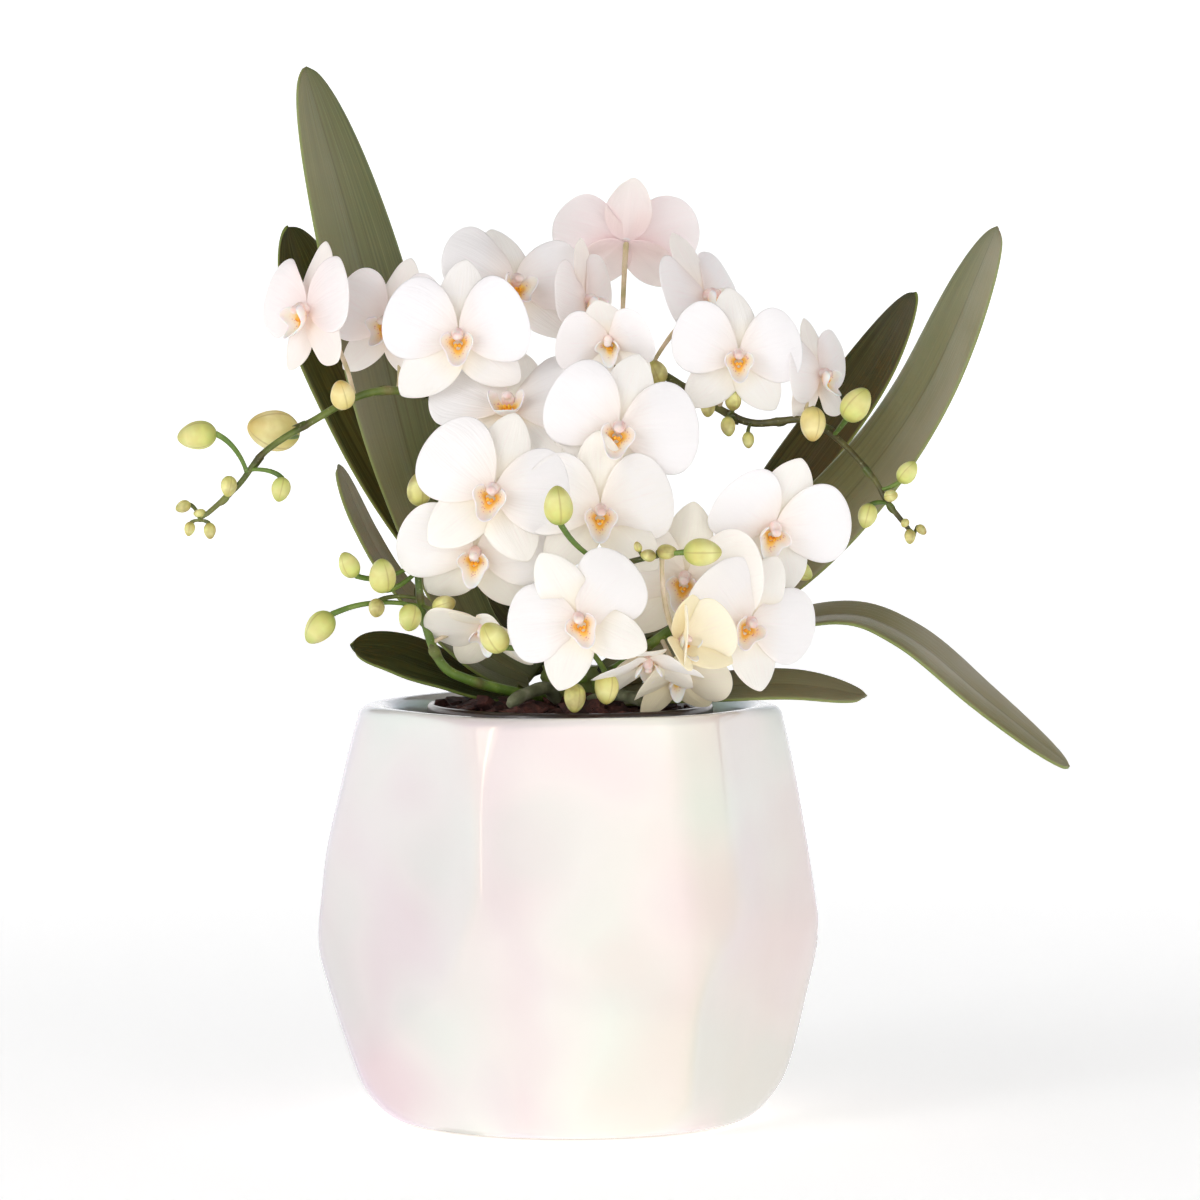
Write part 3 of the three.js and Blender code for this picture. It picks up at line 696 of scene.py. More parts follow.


# leaves
# turn and lift say where the leaf leaves the crown, face is the way its upper side looks, broad is where it is
# widest, grey is the painted sheen, a grey reflection painted into the colour, at its two edges, and depth how
# dark it is; lengths in mm
# depth is painted shade: leaves low down and behind the flowers are painted darker
leafTable = [
    {"node": "leaf_tall_left", "turn": 156, "lift": 8, "width": 33, "broad": 0.6, "face": (0.5, -0.8, 0.3),
     "spine": [(-30, 9, 148), (-47, 16, 193), (-62, 21, 253), (-80, 19, 316)], "grey": (0.6, 0.0),
     "depth": 0.2, "twist": 6},
    {"node": "leaf_back_left", "turn": 125, "lift": 9.5, "width": 30, "broad": 0.6,
     "face": (0.45, -0.85, 0.3),
     "spine": [(-30, 30, 155), (-56, 40, 200), (-75, 44, 238), (-86, 40, 268)], "grey": (0.0, 0.0),
     "depth": 0.9, "twist": -4},
    {"node": "leaf_mid_left", "turn": 184, "lift": 6, "width": 20, "broad": 0.6, "face": (0.6, -0.3, 0.7),
     "spine": [(-29, -9, 139), (-50, -9, 160), (-61, -7, 178), (-69, -4, 197)], "grey": (0.5, 0.6),
     "depth": 0.4, "twist": 3},
    {"node": "leaf_low_left", "turn": 214, "lift": 2, "width": 21, "broad": 0.62, "face": (0.1, -0.5, 0.85),
     "spine": [(-24, -8, 130), (-38, -9, 136), (-52, -10, 141), (-65, -12, 143)], "grey": (0.0, 0.0),
     "depth": 0.9, "twist": -3},
    {"node": "leaf_tall_right", "turn": 16, "lift": 9, "width": 32, "broad": 0.5, "face": (-0.6, -0.65, 0.45),
     "spine": [(44, 6, 151), (78, 6, 181), (106, 5, 218), (128, 2, 268)], "grey": (0.2, 1.0), "depth": 0.1,
     "twist": -4},
    {"node": "leaf_back_right", "turn": 46, "lift": 8, "width": 25, "broad": 0.6, "face": (-0.6, -0.6, 0.5),
     "spine": [(38, 32, 154), (72, 42, 197), (92, 46, 226), (105, 44, 248)], "grey": (0.0, 0.1), "depth": 0.9,
     "twist": 3},
    {"node": "leaf_arching_right", "turn": -10, "lift": 4, "width": 23, "broad": 0.55,
     "face": (0.1, -0.2, 0.96),
     "spine": [(40, -14, 142), (78, -16, 153), (100, -18, 147), (124, -20, 128), (149, -22, 108)],
     "grey": (1.0, 1.0),
     "depth": 0.0, "twist": 5},
    {"node": "leaf_low_right", "turn": -44, "lift": 2, "width": 18, "broad": 0.6, "face": (0.05, -0.5, 0.85),
     "spine": [(24, -13, 129.5), (46, -17, 131.5), (68, -19, 132), (88, -20, 129)], "grey": (0.7, 0.8),
     "depth": 0.3, "twist": -2},
]
leafShape = {"thickness": 1.2, "fold": 0.2, "columns": 12, "rows": 44, "footWidth": 0.42, "crown": 10}
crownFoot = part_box("crown")[0][2] / mm


def crownPlace(turn, lift, clearance):
    reach = leafShape["crown"] + clearance
    return Vector((reach * math.cos(math.radians(turn)), reach * math.sin(math.radians(turn)),
                   crownFoot + lift))


def leafWidth(share, broad):  # 0 at the crown, 1 at the tip, as a share of the widest part
    foot = leafShape["footWidth"]
    if share < broad:
        rise = math.sin(0.5 * math.pi * share / broad)
        return foot + (1 - foot) * rise ** 1.3
    fall = (share - broad) / (1 - broad)
    return math.sqrt(max(1 - fall ** 2.3, 0))


def addLeaf(leaf, draw):
    start = crownPlace(leaf["turn"], leaf["lift"], 1.9)
    line = pathThrough([start] + leaf["spine"])
    face = Vector(leaf["face"]).normalized()
    waves = [(draw.uniform(0, math.tau), draw.uniform(0.6, 1.4)) for _ in range(2)]
    bm = bmesh.new()
    paintedSheen, depth = bm.verts.layers.float.new("paintedSheen"), bm.verts.layers.float.new("depth")
    uv = uvLayer(bm)
    made = bmesh.ops.create_grid(bm, x_segments=leafShape["columns"], y_segments=leafShape["rows"], size=1,
                                 calc_uvs=True)["verts"]
    for piece in bm.faces:
        for loop in piece.loops:
            loop[uv].uv = ((loop.vert.co.x + 1) / 2, (loop.vert.co.y + 1) / 2)
    for vert in made:
        across, share = vert.co.x, (vert.co.y + 1) / 2
        eased = 1 - (1 - share) ** 1.35 if share > 0 else 0
        middle, forward = along(line, eased), heading(line, eased)
        turned = Matrix.Rotation(math.radians(leaf["twist"] * (eased - 0.4) * 4), 3, forward) @ face
        up = (turned - forward * turned.dot(forward)).normalized()
        side = forward.cross(up).normalized()
        half = leaf["width"] / 2 * leafWidth(eased, leaf["broad"]) * 0.97
        fold = leafShape["fold"] * (1 - 0.35 * eased) * (abs(across) - 0.12 * math.exp(-(across / 0.09) ** 2))
        sag = -0.1 * across * across * half
        phase = eased * 9 * waves[0][1] + waves[0][0] + across
        edgeWave = 0.025 * leaf["width"] * across * across * math.sin(phase)
        edge = half * (1 + 0.02 * math.sin(eased * 14 * waves[1][1] + waves[1][0] + (1 if across > 0 else 0)))
        place = middle + side * (across * edge) + up * (fold * half + sag + edgeWave)
        vert.co = place * mm
        # painted sheen share, blended from one edge of the leaf to the other
        vert[paintedSheen] = leaf["grey"][0] + (leaf["grey"][1] - leaf["grey"][0]) * (across + 1) / 2
        # painted shade: darker towards the crown, under the other leaves and flowers
        vert[depth] = min(1, leaf["depth"] + 0.5 * (1 - eased) ** 3)
    bmesh.ops.remove_doubles(bm, verts=made, dist=0.02 * mm)
    bmesh.ops.recalc_face_normals(bm, faces=bm.faces[:])
    facingUp = sum((f.normal.dot(face) * f.calc_area() for f in bm.faces), 0)
    if facingUp < 0:
        bmesh.ops.reverse_faces(bm, faces=bm.faces[:])
    blade = toObject(leaf["node"], bm, [leafUpper, leafUnder])
    thick = blade.modifiers.new("thickness", "SOLIDIFY")
    thick.thickness = leafShape["thickness"] * mm
    thick.offset = -1
    thick.material_offset = 1
    thick.material_offset_rim = 0
    subdivide(blade)
    settle(blade, leaf["node"])


leafDraw = random.Random(4)
for leaf in leafTable:
    addLeaf(leaf, leafDraw)
print("leaves made")


# crown and roots
rootTable = [
    {"node": "root_left", "turn": -110, "lift": 2.8, "radius": 2.0,
     "route": [(-7, -18, 131), (-14, -27, 129.5), (-18, -32, 127)]},
    {"node": "root_right", "turn": -62, "lift": 2, "radius": 1.8,
     "route": [(12, -20, 129), (19, -25, 128.5), (22, -27, 126.8)]},
]


crownShape = {"radius": 9.6, "taper": 0.12, "ripple": 0.05, "sides": 28}


def addCrown():
    bottom, top = Vector(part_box("crown")[0]), Vector(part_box("crown")[1])
    bm = bmesh.new()
    middle = [(0, 0, bottom.z / mm + (top.z - bottom.z) / mm * i / 10) for i in range(11)]

    def thickness(s):
        return crownShape["radius"] * (1 - crownShape["taper"] * s + crownShape["ripple"] * math.sin(s * 19))

    sweep(bm, [Vector(p) for p in middle], thickness, crownShape["sides"])
    bmesh.ops.scale(bm, vec=(mm, mm, mm), verts=bm.verts[:])
    crown = toObject("crownStem", bm, [leafUnder])
    # the crown gets a little painted sheen too
    setShare(crown, "paintedSheen", 0.3)
    settle(crown, "crown")


def addRoot(item):
    start = crownPlace(item["turn"], item["lift"], item["radius"] + 0.3)
    line = pathThrough([start] + item["route"])
    bm = bmesh.new()

    def thickness(s):
        end = 1 if s < 0.93 else 1 - 6 * (s - 0.93)
        return item["radius"] * (1 + 0.06 * math.sin(s * 17)) * end

    sweep(bm, line, thickness, 14)
    bmesh.ops.scale(bm, vec=(mm, mm, mm), verts=bm.verts[:])
    made = toObject(item["node"], bm, [root])
    subdivide(made)
    settle(made, item["node"])


addCrown()
for item in rootTable:
    addRoot(item)
print("crown and roots made")


# flower spikes
spikeTable = [
    {"node": "spike_upper_left", "turn": 97, "lift": 3, "age": 0.25, "route": [
        (-6, 17, 158), (-17, 8, 196), (-28, -2, 216), (-44, -14, 219), (-60, -22, 219), (-76, -28, 211),
        (-90, -32, 202), (-98, -35, 192), (-109, -38, 182)]},
    {"node": "spike_upper_right", "turn": 72, "lift": 3, "age": 0.7, "route": [
        (6, 14, 165), (6, 9, 205), (14, 2, 228), (26, -6, 225), (41, -12, 216), (54, -16, 210),
        (70, -20, 211),
        (80, -23, 205), (90, -27, 194), (94, -29, 187), (102, -31, 177)]},
    {"node": "spike_centre", "turn": -72, "lift": 8, "age": 0.1,
     "route": [(1, -14, 155), (-1, -18, 182), (2, -24, 203), (10, -28, 213)]},
    {"node": "spike_low_left", "turn": -130, "lift": 3, "age": 0.1, "route": [
        (-17, -20, 130), (-30, -26, 134), (-38, -28, 139), (-43, -30, 152), (-45, -31, 168),
        (-44, -31, 186)]},
    {"node": "spike_front", "turn": -88, "lift": 3, "age": 0.3,
     "route": [(-2, -24, 138), (1, -42, 150), (7, -52, 162), (16, -56, 170), (27, -58, 173)]},
    {"node": "spike_low_right", "turn": -50, "lift": 7, "age": 0.1,
     "route": [(18, -20, 140), (34, -26, 152), (48, -27, 164), (58, -26, 171), (66, -26, 173)]},
]
spikeShape = {"radius": 1.65, "tip": 0.75, "spacing": 15}
spikeLines = {}


def addSpike(spike, draw):
    start = crownPlace(spike["turn"], spike["lift"], 1.9)
    line = pathThrough([start] + spike["route"], 140)
    spikeLines[spike["node"]] = line
    length = sum((b - a).length for a, b in zip(line, line[1:]))
    count = max(2, int(length / spikeShape["spacing"]))
    joints = [(i + 0.6 + draw.uniform(-0.12, 0.12)) / (count + 0.3) for i in range(count)]
    bm = bmesh.new()

    def thickness(s):
        knuckle = sum(math.exp(-((s - joint) * length / 1.3) ** 2) for joint in joints)
        end = 1 if s < 0.985 else max(0.15, (1 - s) / 0.015)
        taper = (spikeShape["radius"] - spikeShape["tip"]) * s ** 1.6
        return (spikeShape["radius"] - taper) * (1 + 0.22 * knuckle) * end

    sweep(bm, line, thickness, 12)
    tones = bm.verts.layers.float.new("age")
    for vert in bm.verts:
        nearest = min(range(len(line)), key=lambda i: (line[i] - vert.co).length)
        s = nearest / (len(line) - 1)
        knuckle = max(math.exp(-((s - joint) * length / 1.6) ** 2) for joint in joints)
        vert[tones] = min(1, spike["age"] + 0.55 * s * s + 0.75 * knuckle)
    for joint in joints:  # a papery scale wraps half of the stem at each joint
        middle, forward = along(line, joint), heading(line, joint)
        side = forward.orthogonal().normalized()
        side.rotate(Matrix.Rotation(draw.uniform(0, math.tau), 3, forward))
        verts = discSheet(bm, 6, 6)[0]
        wrap = thickness(joint) + 0.18
        for vert in verts:
            x, y = vert.co.x, (vert.co.y + 1) / 2
            bend = x * 1.5 * (1 - 0.75 * y)
            out = wrap + 0.35 * y
            vert.co = middle + forward * (y * 4.2 - 0.8) + side * (math.cos(bend) * out) \
                + forward.cross(side) * (math.sin(bend) * out)
            vert[tones] = 0.55 + 0.45 * y
    bmesh.ops.scale(bm, vec=(mm, mm, mm), verts=bm.verts[:])
    made = toObject(spike["node"], bm, [stem])
    settle(made, spike["node"])


spikeDraw = random.Random(21)
for spike in spikeTable:
    addSpike(spike, spikeDraw)
print("spikes made")


# flowers
# turn, lift and roll aim the flower, tilt adds to them and shift moves it across and up, in mm; open is how
# far it has opened, warm how cream it is, blush how pink and stalk the spike it hangs on
flowerTable = [
    {"node": "flower_01", "turn": -68, "lift": 8, "roll": 6, "stalk": "spike_upper_left", "warm": 0.15,
     "blush": 0.6, "shift": (1.5, 3), "grow": 1.15, "tilt": (14, 0, 0)},
    {"node": "flower_02", "turn": -34, "lift": 10, "roll": -6, "stalk": "spike_upper_left", "warm": 0.1,
     "blush": 0.35, "shift": (2.6, 0.5)},
    {"node": "flower_03", "turn": -4, "lift": 6, "roll": 2, "stalk": "spike_upper_left", "warm": 0.0,
     "shift": (0, -0.3), "grow": 1.12},
    {"node": "flower_04", "turn": 6, "lift": 16, "roll": -8, "stalk": "spike_upper_left", "warm": 0.1,
     "shift": (1, -1.5), "tilt": (20, 14, 0), "grow": 1.2, "blush": 0.1},
    {"node": "flower_05", "turn": 66, "lift": 6, "roll": 0, "stalk": "spike_upper_right", "warm": 0.2,
     "blush": 0.5},
    {"node": "flower_06", "turn": 22, "lift": 12, "roll": -4, "stalk": "spike_upper_right", "warm": 0.1,
     "tilt": (-34, -34, 8), "open": 0.72, "grow": 0.95, "blush": 0.1},
    {"node": "flower_07", "turn": 174, "lift": 14, "roll": 4, "stalk": "spike_upper_right", "warm": 0.1,
     "tilt": (0, 22, 0), "blush": 1.0},
    {"node": "flower_08", "turn": 34, "lift": 14, "roll": 6, "stalk": "spike_upper_right", "warm": 0.1,
     "shift": (0, -3.5), "tilt": (20, 10, 0), "grow": 1.15, "blush": 0.4},
    {"node": "flower_09", "turn": 2, "lift": 4, "roll": 0, "stalk": "spike_upper_right", "warm": 0.05},
    {"node": "flower_10", "turn": 58, "lift": 8, "roll": 4, "stalk": "spike_upper_right", "warm": 0.15,
     "blush": 0.4},
    {"node": "flower_11", "turn": 2, "lift": 8, "roll": 3, "stalk": "spike_centre", "warm": 0.05,
     "shift": (0.4, -0.2), "grow": 1.14, "tilt": (0, 0, -15)},
    {"node": "flower_12", "turn": -12, "lift": 2, "roll": 8, "stalk": "spike_centre", "warm": 0.1,
     "shift": (2.4, 0), "grow": 1.15, "tilt": (8, 4, -22)},
    {"node": "flower_13", "turn": -20, "lift": -4, "roll": -6, "stalk": "spike_centre", "warm": 0.2,
     "shift": (2.2, 4.6), "tilt": (14, -8, 0), "grow": 1.15},
    {"node": "flower_14", "turn": 4, "lift": -4, "roll": -4, "stalk": "spike_centre", "warm": 0.2,
     "grow": 1.2, "tilt": (0, 6, 0)},
    {"node": "flower_15", "turn": -2, "lift": 2, "roll": 12, "stalk": "spike_front", "warm": 0.1,
     "shift": (2, 2.6), "tilt": (0, 0, 9)},
    {"node": "flower_16", "turn": 10, "lift": 4, "roll": -16, "stalk": "spike_low_right", "warm": 0.05,
     "shift": (0.2, -2), "tilt": (0, -22, 0), "grow": 1.1},
    {"node": "flower_17", "turn": 18, "lift": 2, "roll": -14, "stalk": "spike_low_right", "warm": 0.1,
     "shift": (-3.4, 1), "tilt": (0, 0, -16)},
    {"node": "flower_18", "turn": -6, "lift": -6, "roll": -10, "stalk": "spike_low_right", "warm": 0.35,
     "grow": 1.25},
    {"node": "flower_19", "turn": 56, "lift": -10, "roll": 0, "stalk": "spike_front", "warm": 1.0,
     "open": 0.5,
     "shift": (1, 0), "grow": 1.35, "tilt": (-16, 20, 0)},
    {"node": "flower_20", "turn": 10, "lift": -20, "roll": 10, "stalk": "spike_front", "warm": 0.25,
     "open": 0.8,
     "grow": 1.35, "tilt": (0, -52, 0)},
    {"node": "flower_21", "turn": 20, "lift": -40, "roll": 0, "stalk": "spike_low_right", "warm": 0.9,
     "open": 0.7,
     "grow": 1.2},
    {"node": "flower_22", "turn": -34, "lift": -20, "roll": 0, "stalk": "spike_low_left", "warm": 0.5,
     "open": 0.7,
     "grow": 1.2, "tilt": (0, -26, 0)},
    {"node": "flower_23", "turn": -14, "lift": 24, "roll": 4, "stalk": "spike_centre", "warm": 0.1,
     "shift": (-2, -4.5), "grow": 1.45, "tilt": (4, 26, 0)},
]
# lengths and widths are shares of the flower's spread, angles in degrees
flowerShape = {
    "acrossSpread": 0.935, "topReach": 0.4136, "lipReach": 0.15,
    "sepal": {"length": 0.5, "width": 0.33, "base": 0.08, "point": 0.2, "pitch": 4, "curl": -14,
              "bow": -0.22},
    "petal": {"length": 0.5, "width": 0.55, "base": 0.3, "point": 0.0, "pitch": 12, "curl": -20,
              "bow": -0.14},
    "turns": [("sepal", 0), ("sepal", 136), ("sepal", 224), ("petal", 72), ("petal", 288)],
    "columns": 10, "rows": 12, "thickness": 0.32, "stalkRadius": 0.75,
    "column": [(0.004, -0.02), (0.018, 0.045), (0.008, 0.1)], "columnRadius": 0.034,
    "cap": {"place": (0, 0.002, 0.104), "size": (0.034, 0.03, 0.022)},
    "callus": {"place": (0.012, -0.056, 0.062), "size": (0.014, 0.015, 0.026)},
}


def headOf(node, aim):  # the CAD flower's middle and spread, measured along the way it looks
    home = aim.transposed()
    places = [home @ (vert.co / mm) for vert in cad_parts[node].data.vertices]
    front = max(p.z for p in places)
    spread = 40
    for _ in range(3):
        near = [p for p in places if p.z > front - 0.16 * spread]
        across = [p.x for p in near]
        spread = (max(across) - min(across)) / flowerShape["acrossSpread"]
    middle = Vector(((max(across) + min(across)) / 2,
                     max(p.y for p in near) - flowerShape["topReach"] * spread,
                     front - flowerShape["lipReach"] * spread))
    return aim @ middle, spread


def outlineAt(size, v):
    return max(v, 1e-4) ** size["base"] * max(1 - v, 1e-4) ** size["point"]


def addBlade(bm, slot, size, turn, spread, draw, opened,
             deep):  # a petal or sepal, deep in front of the middle
    verts, faces = discSheet(bm, flowerShape["columns"], flowerShape["rows"], slot)
    shares = [i / 50 for i in range(1, 50)]
    fullest = max(outlineAt(size, v) * math.sqrt(1 - (2 * v - 1) ** 2) for v in shares)
    length, half = size["length"] * spread, size["width"] * spread / 2 / fullest
    length *= draw.uniform(0.95, 1.05)
    half *= draw.uniform(0.95, 1.05)
    pitch = math.radians(size["pitch"] + (1 - opened) * 95 + draw.uniform(-7, 9))
    curl = math.radians(size["curl"] * opened + (1 - opened) * -25 + draw.uniform(-14, 10))
    phase, swell, lean = draw.uniform(0, math.tau), draw.uniform(0.6, 1.3), draw.uniform(-0.07, 0.07)
    steps = 40
    walk = [Vector((0, 0))]
    for i in range(steps):
        angle = pitch + curl * (i + 0.5) / steps
        walk.append(walk[-1] + Vector((math.cos(angle), math.sin(angle))) * length / steps)
    spin = Matrix.Rotation(math.radians(turn), 3, "Z")
    for vert in verts:
        x, v = vert.co.x, (vert.co.y + 1) / 2
        across = x * half * outlineAt(size, v)
        spot = walk[min(int(v * steps), steps)].lerp(walk[min(int(v * steps) + 1, steps)], v * steps % 1)
        angle = pitch + curl * v
        wave = 0.075 * half * math.sin(5.2 * v + 2.5 * x + phase) * swell * abs(x) ** 1.5
        groove = 0.05 * half * math.exp(-(x / 0.12) ** 2) * (1 - v)
        rise = size["bow"] * across * across / half + wave - groove
        local = Vector((across + lean * length * v * v, spot.x - rise * math.sin(angle),
                        spot.y + rise * math.cos(angle) + deep * spread))
        vert.co = spin @ local
    bmesh.ops.recalc_face_normals(bm, faces=faces)
    bmesh.ops.solidify(bm, geom=faces, thickness=flowerShape["thickness"])


def addBall(bm, slot, place, size, spread):
    made = bmesh.ops.create_uvsphere(bm, u_segments=12, v_segments=8, radius=1)["verts"]
    moved, grown = [part * spread for part in place], [part * spread for part in size]
    bmesh.ops.transform(bm, matrix=Matrix.Translation(moved) @ Matrix.Diagonal((*grown, 1)), verts=made)
    for face in {face for vert in made for face in vert.link_faces}:
        face.material_index = slot


def openCup(bm, slot, columns, rows):  # x runs from -1 to 1 round the cup and y from its foot to 1 at its rim
    uv = uvLayer(bm)
    made = bmesh.ops.create_grid(bm, x_segments=columns, y_segments=rows, size=1)["verts"]
    faces = list({face for vert in made for face in vert.link_faces})
    for vert in made:
        vert.co.y = 0.12 + 0.44 * (vert.co.y + 1)
    for face in faces:
        face.material_index = slot
        for loop in face.loops:
            loop[uv].uv = ((loop.vert.co.x + 1) / 2, loop.vert.co.y)
    return made, faces


# shares of the flower's spread and degrees; the cup is open at the top, where the column stands
lipShape = {"columns": 30, "rows": 9, "wrap": 142, "reach": 0.085, "scoopReach": 0.075, "scoopWidth": 34,
            "lobeReach": 0.045, "lobeTurn": 105, "lobeWidth": 34, "rise": 0.05, "scoopRise": 0.09,
            "lobeRise": 0.075,
            "drop": -0.045, "start": 0.035, "thickness": 0.4}


def addLip(bm, slot, spread,
           draw):  # a cup open at the top: a scoop in front and a lobe standing up on each side
    shape = lipShape
    verts, faces = openCup(bm, slot, shape["columns"], shape["rows"])
    skew = draw.uniform(-5, 5)
    for vert in verts:
        turn, v = vert.co.x * shape["wrap"] + skew, vert.co.y
        front = math.exp(-(turn / shape["scoopWidth"]) ** 2)
        side = math.exp(-((abs(turn) - shape["lobeTurn"]) / shape["lobeWidth"]) ** 2)
        reach = shape["reach"] + shape["scoopReach"] * front + shape["lobeReach"] * side
        rise = shape["rise"] + shape["scoopRise"] * front + shape["lobeRise"] * side
        out = reach * (v ** 0.7 - 0.16 * v ** 4 * (0.4 + side))
        angle = math.radians(turn)
        vert.co = Vector((math.sin(angle) * out, -math.cos(angle) * out + shape["drop"],
                          shape["start"] + rise * v ** 1.5)) * spread
    bmesh.ops.recalc_face_normals(bm, faces=faces)
    bmesh.ops.solidify(bm, geom=faces, thickness=shape["thickness"])


def addFlower(flower, draw):
    angles = (flower["turn"], flower["lift"], flower["roll"])
    middle, spread = headOf(flower["node"], facing(*angles))
    aim = facing(*(base + extra for base, extra in zip(angles, flower.get("tilt", (0, 0, 0)))))
    across, up = flower.get("shift", (0, 0))
    middle += Vector((across, 0, up))
    spread *= flower.get("grow", 1.05)
    opened = flower.get("open", 1.0)
    bm = bmesh.new()
    for kind, turn in flowerShape["turns"]:
        slot = 0 if kind == "petal" else 1
        deep = 0.012 if kind == "petal" else -0.012
        addBlade(bm, slot, flowerShape[kind], turn + draw.uniform(-7, 7), spread, draw, opened, deep)

    def columnRadius(t):
        return spread * (flowerShape["columnRadius"] + 0.008 * math.sin(3 * t)) * (1 if t < 0.9 else 0.75)

    # the column over the throat, with its cap
    columnLine = pathThrough([(0, y * spread, z * spread) for y, z in flowerShape["column"]], 10)
    sweep(bm, columnLine, columnRadius, 12, 4)
    addBall(bm, 4, flowerShape["cap"]["place"], flowerShape["cap"]["size"], spread)
    # the callus: two swellings deep in the throat
    x, y, z = flowerShape["callus"]["place"]
    for side in (-1, 1):
        addBall(bm, 3, (side * x, y, z), flowerShape["callus"]["size"], spread)
    addLip(bm, 2, spread, draw)
    for vert in bm.verts:
        vert.co = middle + aim @ vert.co
    addStalk(bm, 5, middle, aim, spread, flower["stalk"])
    bmesh.ops.scale(bm, vec=(mm, mm, mm), verts=bm.verts[:])
    made = toObject(flower["node"], bm, [petal, sepal, lip, callus, column, stalk])
    setShare(made, "warmth", flower["warm"])
    setShare(made, "blush", flower.get("blush", 0.0))
    setShare(made, "age", 0.15)
    subdivide(made)
    settle(made, flower["node"])


def addStalk(bm, slot, middle, aim, spread, spikeName, start=-0.015):
    line = spikeLines[spikeName]
    first = middle + aim @ Vector((0, 0, start * spread))
    foot = min(line[int(0.06 * len(line)):], key=lambda p: (p - middle).length)
    reach = (foot - first).length
    bend = (middle + aim @ Vector((0, 0, start * spread - 0.35 * reach))).lerp(foot, 0.3)
    way = [first.lerp(bend, t).lerp(bend.lerp(foot, t), t) for t in (0, 0.25, 0.5, 0.75, 1)]
    path = pathThrough(way, 24)
    radius = flowerShape["stalkRadius"] * min(1, 0.35 + spread / 14)
    sweep(bm, path, lambda t: radius * (1.3 - 0.45 * t + 0.35 * math.exp(-((t - 1) / 0.08) ** 2)), 10, slot)


flowerDraw = random.Random(7)
for flower in flowerTable:
    addFlower(flower, flowerDraw)
print("flowers made")


# buds
budTable = [
    {"node": "bud_left_ripe", "turn": -10, "lift": 50, "size": 0.9, "stalk": "spike_upper_left", "ripe": 0.9},
    {"node": "bud_left_arched", "turn": -90, "lift": -8, "size": 1.05, "stalk": "spike_upper_left",
     "ripe": 0.2},
    {"node": "bud_left_opening", "turn": -60, "lift": 10, "size": 1.5, "stalk": "spike_upper_left",
     "ripe": 0.8},
    {"node": "bud_left_small", "turn": -20, "lift": -60, "size": 0.7, "stalk": "spike_upper_left",
     "ripe": 0.1},
    {"node": "bud_low_left_high", "turn": -60, "lift": 60, "size": 0.75, "stalk": "spike_low_left",
     "ripe": 0.1},
    {"node": "bud_low_left_large", "turn": 0, "lift": 60, "size": 1.0, "stalk": "spike_low_left",
     "ripe": 0.2},
    {"node": "bud_low_left_far", "turn": -80, "lift": -50, "size": 1.0, "stalk": "spike_low_left",
     "ripe": 0.1},
    {"node": "bud_low_left_near", "turn": 0, "lift": -40, "size": 0.85, "stalk": "spike_low_left",
     "ripe": 0.0},
    {"node": "bud_centre_upright", "turn": -20, "lift": 78, "size": 1.05, "stalk": "spike_front",
     "ripe": 0.2},
    {"node": "bud_centre_level", "turn": 88, "lift": 0, "size": 1.0, "stalk": "spike_front", "ripe": 0.3},
    {"node": "bud_front_left", "turn": -40, "lift": 40, "size": 1.0, "stalk": "spike_front", "ripe": 0.3},
    {"node": "bud_front_low", "turn": 0, "lift": -60, "size": 0.9, "stalk": "spike_front", "ripe": 0.4},
    {"node": "bud_right_behind", "turn": 60, "lift": -30, "size": 0.7, "stalk": "spike_low_right",
     "ripe": 0.1},
    {"node": "bud_right_ripe", "turn": 0, "lift": -70, "size": 0.95, "stalk": "spike_upper_right",
     "ripe": 0.9},
    {"node": "bud_right_large", "turn": 50, "lift": 50, "size": 1.05, "stalk": "spike_upper_right",
     "ripe": 0.2},
    {"node": "bud_right_small", "turn": 60, "lift": 50, "size": 0.7, "stalk": "spike_upper_right",
     "ripe": 0.1},
    {"node": "bud_right_low", "turn": -30, "lift": -60, "size": 0.7, "stalk": "spike_upper_right",
     "ripe": 0.2},
]
budShape = {"length": 11.3, "width": 0.74, "seams": 0.05}


def budBody(bm, slot, place, aim, length, width, segments=20, rings=12):
    uv = uvLayer(bm)
    made = bmesh.ops.create_uvsphere(bm, u_segments=segments, v_segments=rings, radius=1,
                                     calc_uvs=True)["verts"]
    faces = {face for vert in made for face in vert.link_faces}
    for face in faces:
        face.material_index = slot
        for loop in face.loops:
            loop[uv].uv = (loop[uv].uv.x, (loop.vert.co.z + 1) / 2)
    for vert in made:
        turn, z = math.atan2(vert.co.y, vert.co.x), vert.co.z
        ridge = 1 - budShape["seams"] * (1 - abs(math.cos(1.5 * turn))) ** 3 * 1.6
        taper = 1 - 0.16 * z - 0.06 * z * z
        local = Vector((vert.co.x * width / 2 * ridge * taper, vert.co.y * width / 2 * ridge * taper,
                        z * length / 2))
        vert.co = place + aim @ local


def addBud(item):
    aim = facing(item["turn"], item["lift"], 0)
    home = aim.transposed()
    places = [home @ (vert.co / mm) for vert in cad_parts[item["node"]].data.vertices]
    length = budShape["length"] * item["size"]
    front = max(p.z for p in places)
    near = [p for p in places if p.z > front - 0.75 * length]
    middle = aim @ Vector(((max(p.x for p in near) + min(p.x for p in near)) / 2,
                           (max(p.y for p in near) + min(p.y for p in near)) / 2, front - length / 2))
    bm = bmesh.new()
    budBody(bm, 0, middle, aim, length, length * budShape["width"])
    addStalk(bm, 1, middle, aim, length, item["stalk"], -0.44)
    bmesh.ops.scale(bm, vec=(mm, mm, mm), verts=bm.verts[:])
    made = toObject(item["node"], bm, [bud, stem])
    setShare(made, "ripeness", item["ripe"])
    setShare(made, "age", 0.2)
    subdivide(made)
    settle(made, item["node"])


for entry in budTable:
    addBud(entry)
print("buds made")


